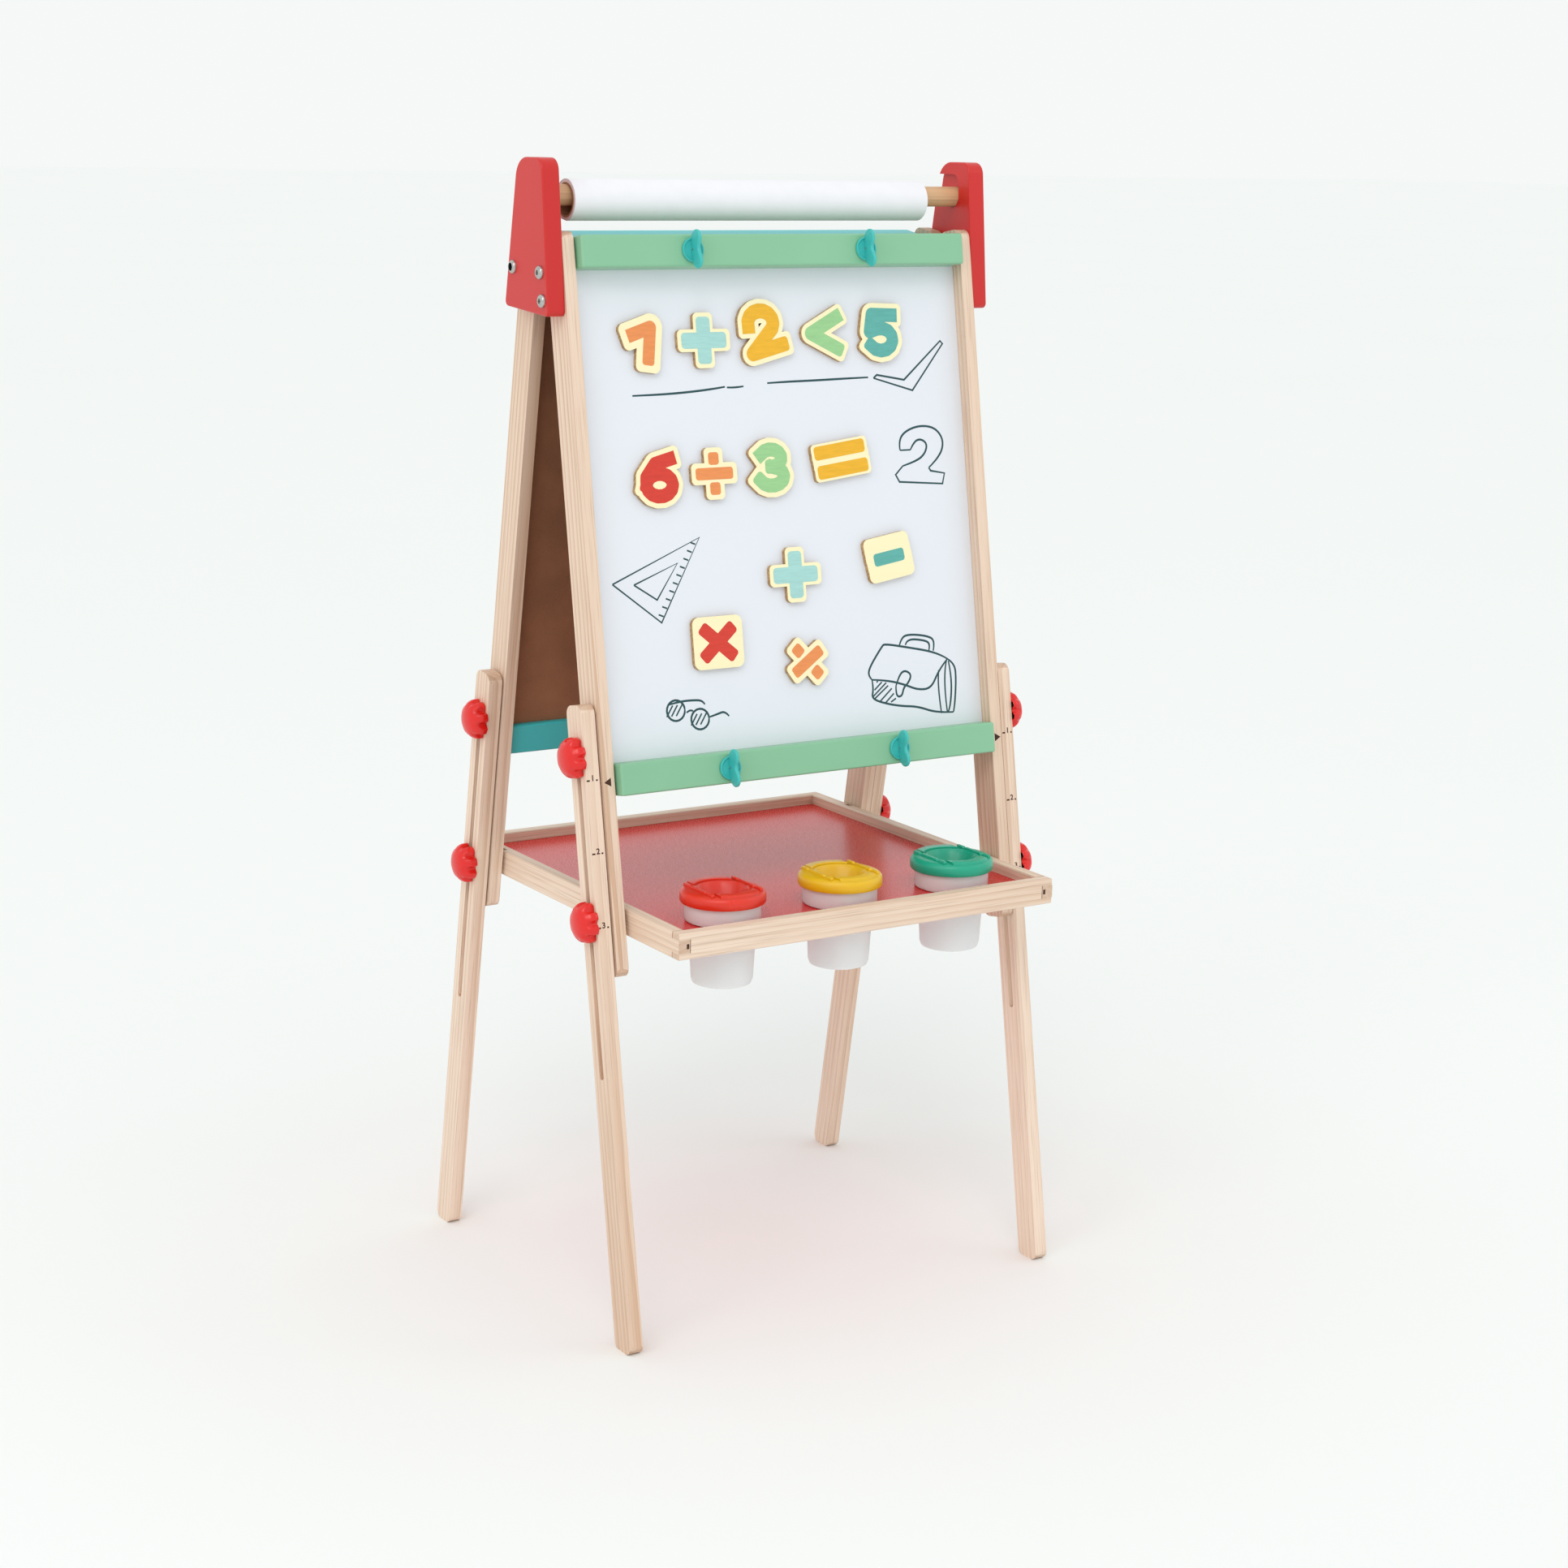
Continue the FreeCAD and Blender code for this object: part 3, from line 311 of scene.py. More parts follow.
def frosted_finish(name, tone):
    """Thin frosted plastic that lets light through and blurs what is behind it."""
    finish = Finish(name, transmission_weight=0.3, ior=1.15, specular_ior_level=0.4)
    grain = finish.noise(finish.place, 1300.0, 2.0)
    flow = finish.noise(finish.mapped((1, 1, 0.3)), 40.0, 3.0)
    finish.tint(flow, 0.3, 0.7, tone, darker(tone, 0.95))
    finish.roughen(flow, 0.25, 0.75, 0.46, 0.6)
    finish.bump(grain, 0.00003, 0.6)
    return finish.material


def metal_finish(name, tone):
    """Bright zinc plating with fine cloudy wear."""
    finish = Finish(name, metallic=1.0)
    cloud = finish.noise(finish.place, 260.0, 4.0, 0.6)
    finish.tint(cloud, 0.35, 0.65, darker(tone, 0.78), tone)
    finish.roughen(cloud, 0.3, 0.7, 0.22, 0.4)
    finish.bump(cloud, 0.00003, 0.5)
    return finish.material


def paper_finish(name, tone, centre):
    """Drawing paper with a fine tooth, and the rings of its layers at the roll's ends."""
    finish = Finish(name, roughness=0.82, specular_ior_level=0.25)
    tooth = finish.noise(finish.place, 2200.0, 3.0, 0.6)
    cloudy = finish.noise(finish.place, 60.0, 3.0)
    apart = finish.mapped((0, 1, 1), shift=(0, -centre[0], -centre[1]))
    radius = finish.add("ShaderNodeVectorMath", {0: apart}, operation="LENGTH").outputs["Value"]
    layer = finish.maths("FRACT", finish.maths("MULTIPLY", radius, 1 / (0.55 * MM)))
    at_end = finish.maths("ADD", finish.facing((1, 0, 0)), finish.facing((-1, 0, 0)))
    lines = finish.maths("MULTIPLY", finish.remap(layer, 0.6, 1.0, 0.0, 0.7), at_end)
    plain = finish.blend(finish.remap(cloudy, 0.35, 0.65, 0.0, 0.6), tone, darker(tone, 0.965))
    finish.set("Base Color", finish.blend(lines, plain, darker(tone, 0.55)))
    finish.bump(tooth, 0.00003, 0.5)
    return finish.material


def card_finish(name, tone):
    """Grey-brown tube card with a fibrous surface."""
    finish = Finish(name, roughness=0.88)
    fibres = finish.noise(finish.mapped((0.3, 1, 1)), 800.0, 4.0, 0.65)
    finish.tint(fibres, 0.35, 0.65, darker(tone, 0.75), tone)
    finish.bump(fibres, 0.0001, 0.6)
    return finish.material


def tile_finish(name, tone):
    """A magnet's printed cream face over a thin board whose cut edge is scorched brown."""
    finish = Finish(name, coat_weight=0.2, coat_roughness=0.3)
    is_face = finish.facing(tuple(-BACK))
    grain = finish.noise(finish.mapped((0.05, 1, 1)), 260.0, 3.0, 0.6)
    scorch = finish.noise(finish.place, 420.0, 3.0)
    edge = finish.blend(finish.remap(scorch, 0.3, 0.7), paint(150, 105, 62), paint(206, 168, 112))
    face = finish.blend(finish.remap(grain, 0.4, 0.75, 0.0, 0.4), tone, darker(tone, 0.93))
    finish.set("Base Color", finish.blend(is_face, edge, face))
    finish.roughen(grain, 0.3, 0.7, 0.42, 0.55)
    finish.bump(grain, 0.00003, 0.5)
    return finish.material


def ink_finish(name, tone, gloss=0.42, patchy=0.12):
    """Printed or drawn ink that lies a little unevenly."""
    finish = Finish(name)
    lay = finish.noise(finish.mapped((0.15, 1, 1)), 420.0, 3.0, 0.6)
    finish.tint(lay, 0.35, 0.75, tone, darker(tone, 1.0 - patchy))
    finish.roughen(lay, 0.3, 0.7, gloss, gloss + 0.15)
    finish.bump(lay, 0.00002, 0.5)
    return finish.material


def material(name, maker, *words):
    """A finish made once and shared by name."""
    return bpy.data.materials.get(name) or maker(name, *words)


def dress(node, finish):
    """A CAD node's finish."""
    slots = NODES[node].material_slots
    if not slots:
        NODES[node].data.materials.append(finish)
    for slot in slots:
        slot.material = finish


# ---------------------------------------------------------------- modelling

def only(piece):
    """Selects one object and makes it the active one."""
    if bpy.context.mode != "OBJECT":
        bpy.ops.object.mode_set(mode="OBJECT")
    bpy.ops.object.select_all(action="DESELECT")
    piece.select_set(True)
    bpy.context.view_layer.objects.active = piece


def middle(node):
    """The middle of a CAD node's box."""
    return [(low + high) / 2 for low, high in zip(*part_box(node))]


def added(name, primitive, **settings):
    """A new primitive, made with nothing else selected, with its place in its mesh."""
    bpy.ops.object.select_all(action="DESELECT")
    primitive(**settings)
    bpy.context.object.name = name
    bpy.ops.object.transform_apply(location=True, rotation=True, scale=True)
    return bpy.context.object


def closed(threshold):
    """Merges the doubles of the mesh in edit mode, turns its faces outwards and leaves it."""
    bpy.ops.mesh.select_all(action="SELECT")
    bpy.ops.mesh.remove_doubles(threshold=threshold)
    bpy.ops.mesh.normals_make_consistent(inside=False)
    bpy.ops.object.mode_set(mode="OBJECT")


def meshed(name, curve):
    """A curve made a mesh."""
    piece = bpy.data.objects.new(name, curve)
    bpy.context.collection.objects.link(piece)
    only(piece)
    bpy.ops.object.convert(target="MESH")
    return bpy.context.object


def joined(name, pieces):
    """Several objects made one."""
    only(pieces[0])
    for piece in pieces:
        piece.select_set(True)
    if len(pieces) > 1:
        bpy.ops.object.join()
    bpy.context.object.name = name
    return bpy.context.object


def settle(piece, matrix):
    """Moves a piece drawn at the origin to its place, which goes into its mesh."""
    only(piece)
    piece.matrix_world = matrix @ piece.matrix_world
    bpy.ops.object.transform_apply(location=True, rotation=True, scale=True)
    return piece


def finished(piece, finish, body, nodes=(), angle=40):
    """Gives a piece its finish, its body and the CAD nodes that it stands for."""
    only(piece)
    bpy.ops.object.shade_smooth_by_angle(angle=radians(angle))
    if not piece.data.materials:
        piece.data.materials.append(finish)
    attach(piece, body)
    if nodes:
        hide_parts(*nodes)
    return piece


def use(piece, kind, **settings):
    """Adds a modifier and applies it."""
    only(piece)
    modifier = piece.modifiers.new(kind.title(), kind)
    for key, value in settings.items():
        setattr(modifier, key, value)
    bpy.ops.object.modifier_apply(modifier=modifier.name)


def copied(piece, name):
    """A copy of a piece, with its own mesh."""
    copy = piece.copy()
    copy.data = piece.data.copy()
    copy.name = name
    bpy.context.collection.objects.link(copy)
    return copy


def carve(piece, tool, operation="DIFFERENCE"):
    """Cuts a piece by another, which goes."""
    use(piece, "BOOLEAN", object=tool, operation=operation, solver="EXACT")
    bpy.data.objects.remove(tool)


def turned(name, rings, sides=96):
    """A piece turned about Z from (radius, height) rings. A radius of zero closes it, and
    ending on the first ring makes a closed section."""
    rings = [(max(radius, 1e-5), height) for radius, height in rings]
    piece = added(name, bpy.ops.mesh.primitive_circle_add, vertices=sides, radius=rings[0][0],
                  location=(0, 0, rings[0][1]))
    bpy.ops.object.mode_set(mode="EDIT")
    bpy.ops.mesh.select_all(action="SELECT")
    for (radius, height), (next_radius, next_height) in zip(rings, rings[1:]):
        bpy.ops.mesh.extrude_region_move(
            TRANSFORM_OT_translate={"value": (0, 0, next_height - height)})
        share = next_radius / radius
        bpy.ops.transform.resize(value=(share, share, 1), center_override=(0, 0, next_height))
    closed(4e-5)
    return piece


def block(name, size, centre, edge=0.0):
    """A box, with eased edges where an edge is given."""
    piece = added(name, bpy.ops.mesh.primitive_cube_add, size=1, location=centre, scale=size)
    if edge:
        use(piece, "BEVEL", width=edge, segments=3, limit_method="ANGLE")
    return piece


def rod(name, radius, depth, centre, sides=32, turn=(0, 0, 0)):
    """A round or many-sided bar."""
    return added(name, bpy.ops.mesh.primitive_cylinder_add, vertices=sides, radius=radius,
                 depth=depth, location=centre, rotation=turn)


def plate(name, outline, thickness, edge):
    """A flat plate with rounded edges inside a smooth closed outline in X and Y."""
    curve = bpy.data.curves.new(name, "CURVE")
    curve.dimensions = "2D"
    curve.fill_mode = "BOTH"
    curve.resolution_u = 8
    curve.bevel_resolution = 3
    curve.bevel_depth = edge
    curve.offset = -edge
    curve.extrude = thickness / 2 - edge
    spline = curve.splines.new("BEZIER")
    spline.bezier_points.add(len(outline) - 1)
    spline.use_cyclic_u = True
    for point, (x, y) in zip(spline.bezier_points, outline):
        point.co = (x, y, 0)
        point.handle_left_type = "AUTO"
        point.handle_right_type = "AUTO"
    piece = meshed(name, curve)
    bpy.ops.object.mode_set(mode="EDIT")
    closed(2e-5)
    return piece


def on_front(x, out, down):
    """Places a piece drawn flat in X and Z, facing -Y: x across the front frame, out in
    front of its uprights' faces, and down from their tops."""
    at = FRAME_TOP + Vector((x, 0, 0)) - BACK * out - UP * down
    return Matrix.Translation(at) @ Matrix.Rotation(-LEAN, 4, "X")


def on_rear(x, out, down):
    """The same on the rear frame, for someone who stands behind it."""
    half_turn = Matrix.Rotation(pi, 4, "Z")
    shift = Matrix.Translation((0, MIDDLE_Y, 0))
    return shift @ half_turn @ shift.inverted() @ on_front(x, out, down)


# ---------------------------------------------------------------- operators

class EaselOperator(bpy.types.Operator):
    """Options that the easel's operators share"""
    bl_options = {"REGISTER", "UNDO"}


class EASEL_OT_wood(EaselOperator):
    """Gives every wooden bar pine grain that runs along it"""
    bl_idname = "easel.wood"
    bl_label = "Wooden bars"

    def execute(self, context):
        colours = context.scene.easel_colours
        tones = (tuple(colours.pine), tuple(colours.pine_line))
        turns = {"front": (LEAN, 0, 0), "rear": (-LEAN, 0, 0)}
        bars = [f"{side}_{kind}_{hand}" for side in turns for kind in ("upright", "leg")
                for hand in ("left", "right")]
        for index, bar in enumerate(bars):
            low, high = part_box(bar)
            side = bar.split("_")[0]
            shift = (-(low[0] + high[0]) / 2 + 0.05 + 0.013 * index, 0.02 * index - 0.06,
                     0.31 * index)
            dress(bar, pine_finish(f"pine_{bar}", turns[side], shift, tones, (index % 3) / 2))
        rails = {"front": (0, pi / 2, 0), "rear": (0, pi / 2, 0),
                 "left": (pi / 2, 0, 0), "right": (pi / 2, 0, 0)}
        for index, (hand, turn) in enumerate(rails.items()):
            shift = (0.03 + 0.02 * index, 0.04 - 0.015 * index, 0.2 * index)
            dress(f"tray_rail_{hand}", pine_finish(f"pine_tray_{hand}", turn, shift, tones, 0.6))
        beech = (tuple(colours.beech), darker(colours.beech, 0.72))
        dress("roll_dowel", pine_finish("beech", (0, pi / 2, 0), (0.03, 0.01, 0), beech, 0.2))
        return {"FINISHED"}


class EASEL_OT_paintwork(EaselOperator):
    """Paints the cheeks, the rails and the tray's panel"""
    bl_idname = "easel.paintwork"
    bl_label = "Paintwork"

    def execute(self, context):
        colours = context.scene.easel_colours
        red = painted_finish("cheek_paint", colours.red_paint)
        green = painted_finish("front_rail_paint", colours.green_paint, (0, pi / 2, 0))
        teal = painted_finish("rear_rail_paint", colours.teal_paint, (0, pi / 2, 0))
        panel = painted_finish("panel_lacquer", colours.panel, (pi / 2, 0, 0), 0.2)
        for node in ("cheek_left", "cheek_right"):
            dress(node, red)
        for level in ("top", "bottom"):
            dress(f"front_rail_{level}", green)
            dress(f"rear_rail_{level}", teal)
        dress("tray_panel", panel)
        return {"FINISHED"}


class EASEL_OT_boards(EaselOperator):
    """Finishes the whiteboard and the chalkboard, with bare hardboard backs"""
    bl_idname = "easel.boards"
    bl_label = "Boards"

    def execute(self, context):
        colours = context.scene.easel_colours
        outward = -BACK
        dress("whiteboard", board_finish("whiteboard", tuple(colours.board_white),
                                         tuple(colours.board_back), tuple(outward), False))
        rear = (outward.x, -outward.y, outward.z)
        dress("chalkboard", board_finish("chalkboard", tuple(colours.board_black),
                                         tuple(colours.board_back), rear, True))
        return {"FINISHED"}


class EASEL_OT_bolts(EaselOperator):
    """Makes the cheek bolts with hexagon sockets, and plates the leg bolts"""
    bl_idname = "easel.bolts"
    bl_label = "Bolts"

    def execute(self, context):
        sizes = context.scene.easel_sizes
        colours = context.scene.easel_colours
        zinc = metal_finish("zinc", tuple(colours.zinc))
        for node in ("front_leg_bolts", "rear_leg_bolts", "clip_pins"):
            dress(node, zinc)
        radius = sizes.head_radius
        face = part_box("cheek_right")[1][0]
        model = self.bolt(radius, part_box("cheek_bolts")[1][0] - face)
        for node in ("cheek_bolts", "pivot_bolts"):
            low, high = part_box(node)
            spots = {(round(low[1] + radius, 5), round(low[2] + radius, 5)),
                     (round(high[1] - radius, 5), round(high[2] - radius, 5))}
            heads = []
            for y, z in sorted(spots):
                for side in (-1, 1):
                    head = copied(model, "head")
                    place = Matrix.Translation((side * face, y, z))
                    heads.append(settle(head, place @ Matrix.Rotation(side * pi / 2, 4, "Y")))
            finished(joined(f"{node}_heads", heads), zinc, "front_frame", [node])
        bpy.data.objects.remove(model)
        return {"FINISHED"}

    def bolt(self, radius, height):
        """A button head over a cheek's outer face, with its shank behind."""
        bolt = turned("bolt", [(0, -0.02), (3 * MM, -0.02), (3 * MM, 0), (radius, 0),
                               (radius, height * 0.35), (radius * 0.93, height * 0.68),
                               (radius * 0.74, height * 0.93), (radius * 0.6, height),
                               (0, height)], 48)
        carve(bolt, rod("socket", radius * 0.42, height * 1.4, (0, 0, height), 6))
        return bolt


STEPS_IN_A_LOBE = 24
SKIRT_REACH = 0.975             # a knob's lower edge, as a share of its radius
# Levels up a knob: (share of the height, share of the radius, how far its flutes are rounded out)
GRIP_LEVELS = [
    (0.04, 1.0, 0), (0.24, 1.0, 0), (0.36, 0.995, 0.1), (0.48, 0.975, 0.22),
    (0.6, 0.935, 0.34), (0.71, 0.87, 0.45), (0.81, 0.77, 0.6), (0.89, 0.63, 0.8),
    (0.95, 0.45, 1.0), (0.985, 0.24, 1.0), (1.0, 0.0006, 1.0)]


class EASEL_OT_knobs(EaselOperator):
    """Makes the fluted grip knobs on the legs"""
    bl_idname = "easel.knobs"
    bl_label = "Grip knobs"

    def execute(self, context):
        sizes = context.scene.easel_sizes
        colours = context.scene.easel_colours
        red = moulded_finish("knob_red", tuple(colours.knob), 0.16, 0.05)
        black = moulded_finish("knob_nut", (0.012, 0.012, 0.013), 0.35, 0.0)
        model = self.grip(sizes, red, black)
        for node in sorted(name for name in NODES if name.startswith("knob_")):
            x, y, z = middle(node)
            side = 1 if x > 0 else -1
            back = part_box(node)[0 if side > 0 else 1][0]
            lean = -LEAN if "front" in node else LEAN
            turn = Matrix.Rotation(lean, 4, "X") @ Matrix.Rotation(side * pi / 2, 4, "Y")
            knob = copied(model, f"grip_{node[5:]}")
            settle(knob, Matrix.Translation((back, y, z)) @ turn)
            finished(knob, red, node, [node], 50)
        bpy.data.objects.remove(model)
        return {"FINISHED"}

    def grip(self, sizes, red, black):
        """A domed shell whose flutes fade out towards the top, and the black nut inside."""
        radius, height, steps = sizes.knob_radius, sizes.knob_height, STEPS_IN_A_LOBE
        sides = steps * sizes.knob_lobes
        shell = added("shell", bpy.ops.mesh.primitive_circle_add, vertices=sides, radius=radius)
        bpy.ops.object.mode_set(mode="EDIT")
        for step in range(steps):
            depth = sizes.knob_flute * max(0, (cos(2 * pi * step / steps) + 0.3) / 1.3)
            mesh = bmesh.from_edit_mesh(shell.data)
            for vert in mesh.verts:
                turn = atan2(vert.co.y, vert.co.x) / (2 * pi) * sides
                vert.select = round(turn - step) % steps == 0
            mesh.select_flush(True)
            bmesh.update_edit_mesh(shell.data)
            share = 1 - depth / radius
            bpy.ops.transform.resize(value=(share, share, 1), center_override=(0, 0, 0))
        bpy.ops.mesh.select_all(action="SELECT")
        done, share = 0.0, SKIRT_REACH
        bpy.ops.transform.resize(value=(share, share, 1), center_override=(0, 0, 0))
        for level, reach, roundness in GRIP_LEVELS:
            bpy.ops.mesh.extrude_region_move(
                TRANSFORM_OT_translate={"value": (0, 0, height * (level - done))})
            ratio = reach / share
            bpy.ops.transform.resize(value=(ratio, ratio, 1),
                                     center_override=(0, 0, height * level))
            if roundness:
                bpy.ops.transform.tosphere(value=roundness)
            done, share = level, reach
        closed(3e-5)
        use(shell, "SOLIDIFY", thickness=1.6 * MM, offset=-1)
        shell.data.materials.append(red)
        nut = turned("nut", [(3.1 * MM, 0.4 * MM), (12.0 * MM, 0.4 * MM), (12.6 * MM, 1.0 * MM),
                             (12.6 * MM, 5 * MM), (3.1 * MM, 5 * MM), (3.1 * MM, 0.4 * MM)], 32)
        nut.data.materials.append(black)
        return joined("grip", [shell, nut])


class EASEL_OT_clips(EaselOperator):
    """Makes the turning paper clips on the front rails"""
    bl_idname = "easel.clips"
    bl_label = "Paper clips"

    def execute(self, context):
        sizes = context.scene.easel_sizes
        colours = context.scene.easel_colours
        teal = moulded_finish("clip_teal", tuple(colours.clip), 0.3, 0.15)
        half, reach = 17.4 * MM, 15.0 * MM
        outline = [(0, -0.62 * half), (0.3 * reach, -0.93 * half), (0.62 * reach, -half),
                   (0.93 * reach, -0.82 * half), (reach, -0.5 * half), (0.76 * reach, 0),
                   (reach, 0.5 * half), (0.93 * reach, 0.82 * half), (0.62 * reach, half),
                   (0.3 * reach, 0.93 * half), (0, 0.62 * half), (-0.02 * reach, 0)]
        base = self.base(sizes.clip_radius)
        wing = plate("wing", outline, 3.2 * MM, 1.1 * MM)
        pad = plate("pad", [(0.12 * reach + x * 0.76, y * 0.78) for x, y in outline],
                    3.7 * MM, 0.2 * MM)
        for part in (wing, pad):
            settle(part, Matrix.Translation((0, -1 * MM, 0))
                   @ Matrix.Rotation(-pi / 2, 4, "Z") @ Matrix.Rotation(pi / 2, 4, "X"))
        model = joined("clip", [base, wing, pad])
        for level in ("top", "bottom"):
            for hand in ("left", "right"):
                name = f"clip_{level}_{hand}"
                place = Matrix.Translation(JOINTS[f"{name}_turn"]["pos_m"])
                clip = copied(model, f"{name}_turned")
                settle(clip, place @ Matrix.Rotation(-LEAN, 4, "X"))
                finished(clip, teal, name, [name])
        bpy.data.objects.remove(model)
        return {"FINISHED"}

    def base(self, radius):
        """The round base, with a raised rim round a dished face."""
        base = turned("base", [(0, 0), (radius * 0.97, 0), (radius, 0.4 * MM), (radius, 2.2 * MM),
                               (radius * 0.96, 2.9 * MM), (radius * 0.9, 3.0 * MM),
                               (radius * 0.84, 2.7 * MM), (radius * 0.8, 1.9 * MM),
                               (0, 1.9 * MM)], 72)
        return settle(base, Matrix.Rotation(pi / 2, 4, "X"))


class EASEL_OT_paper_roll(EaselOperator):
    """Makes the roll of drawing paper with its loose outer edge, and its core"""
    bl_idname = "easel.paper_roll"
    bl_label = "Paper roll"

    def execute(self, context):
        colours = context.scene.easel_colours
        low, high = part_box("paper_roll")
        centre = middle("paper_roll")
        outer, half = (high[2] - low[2]) / 2, (high[0] - low[0]) / 2
        core_low, core_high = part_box("roll_core")
        inner = (core_high[2] - core_low[2]) / 2
        paper = paper_finish("paper", tuple(colours.paper), (centre[1], centre[2]))
        body = turned("roll", [
            (inner, -half), (outer - 0.9 * MM, -half), (outer - 0.4 * MM, -half + 0.5 * MM),
            (outer - 0.4 * MM, half - 0.5 * MM), (outer - 0.9 * MM, half), (inner, half),
            (inner, -half)], 128)
        wrap = self.wrap(outer, half)
        roll = joined("paper_wound", [body, wrap])
        settle(roll, Matrix.Translation(centre) @ Matrix.Rotation(pi / 2, 4, "Y"))
        finished(roll, paper, "roll", ["paper_roll"])
        dress("roll_core", card_finish("tube_card", tuple(colours.card)))
        return {"FINISHED"}

    def wrap(self, outer, half):
        """The last turn of paper, whose free edge stands off the roll a little."""
        piece = added("wrap", bpy.ops.mesh.primitive_plane_add, size=1)
        bpy.ops.object.mode_set(mode="EDIT")
        bpy.ops.mesh.select_all(action="SELECT")
        bpy.ops.mesh.delete(type="ONLY_FACE")
        bpy.ops.mesh.select_all(action="DESELECT")
        mesh = bmesh.from_edit_mesh(piece.data)
        mesh.verts.ensure_lookup_table()
        keep = [vert for vert in mesh.verts if vert.co.x > 0]
        bmesh.ops.delete(mesh, geom=[vert for vert in mesh.verts if vert.co.x < 0])
        for vert in keep:
            vert.co = (outer - 0.28 * MM, 0, half if vert.co.y > 0 else -half)
            vert.select = True
        mesh.select_flush(True)
        bmesh.update_edit_mesh(piece.data)
        bpy.ops.mesh.select_all(action="SELECT")
        bpy.ops.mesh.spin(steps=110, angle=radians(340), center=(0, 0, 0), axis=(0, 0, 1))
        bpy.ops.object.mode_set(mode="OBJECT")
        use(piece, "SOLIDIFY", thickness=0.2 * MM, offset=0)
        return piece


class EASEL_OT_cups(EaselOperator):
    """Makes the frosted paint cups"""
    bl_idname = "easel.cups"
    bl_label = "Paint cups"

    def execute(self, context):
        colours = context.scene.easel_colours
        frost = frosted_finish("frosted", tuple(colours.cup))
        low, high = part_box("cup_middle")
        model = self.cup(low[2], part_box("tray_panel")[1][2], high[2], (high[0] - low[0]) / 2)
        for hand in ("left", "middle", "right"):
            x, y = middle(f"cup_{hand}")[:2]
            cup = copied(model, f"frosted_cup_{hand}")
            settle(cup, Matrix.Translation((x, y, 0)))
            finished(cup, frost, f"cup_{hand}", [f"cup_{hand}"], 35)
        bpy.data.objects.remove(model)
        return {"FINISHED"}

    def cup(self, bottom, panel_top, rim, wide):
        """A tapered cup on a ring foot, whose shoulder rests on the tray's panel."""
        base, shelf = bottom + 0.1 * MM, panel_top + 0.25 * MM
        neck, foot, wall = 31.2 * MM, 28.4 * MM, 1.5 * MM
        return turned("cup", [
            (0, base + 1.2 * MM), (foot * 0.66, base + 1.2 * MM), (foot * 0.7, base),
            (foot * 0.84, base), (foot * 0.95, base + 1.2 * MM),
            (foot, base + 5 * MM), (neck, shelf - 3 * MM), (neck, shelf),
            (wide - 2.5 * MM, shelf), (wide - 0.8 * MM, shelf + 0.6 * MM),
            (wide, shelf + 2.4 * MM), (wide, rim - 0.4 * MM), (wide - 0.4 * MM, rim),
            (wide - wall, rim), (wide - wall, shelf + 3 * MM),
            (wide - 3 * MM, shelf + wall), (neck - wall, shelf + wall),
            (foot - wall, base + 5.5 * MM), (foot * 0.86, base + 3 * MM),
            (0, base + 2.8 * MM)], 128)


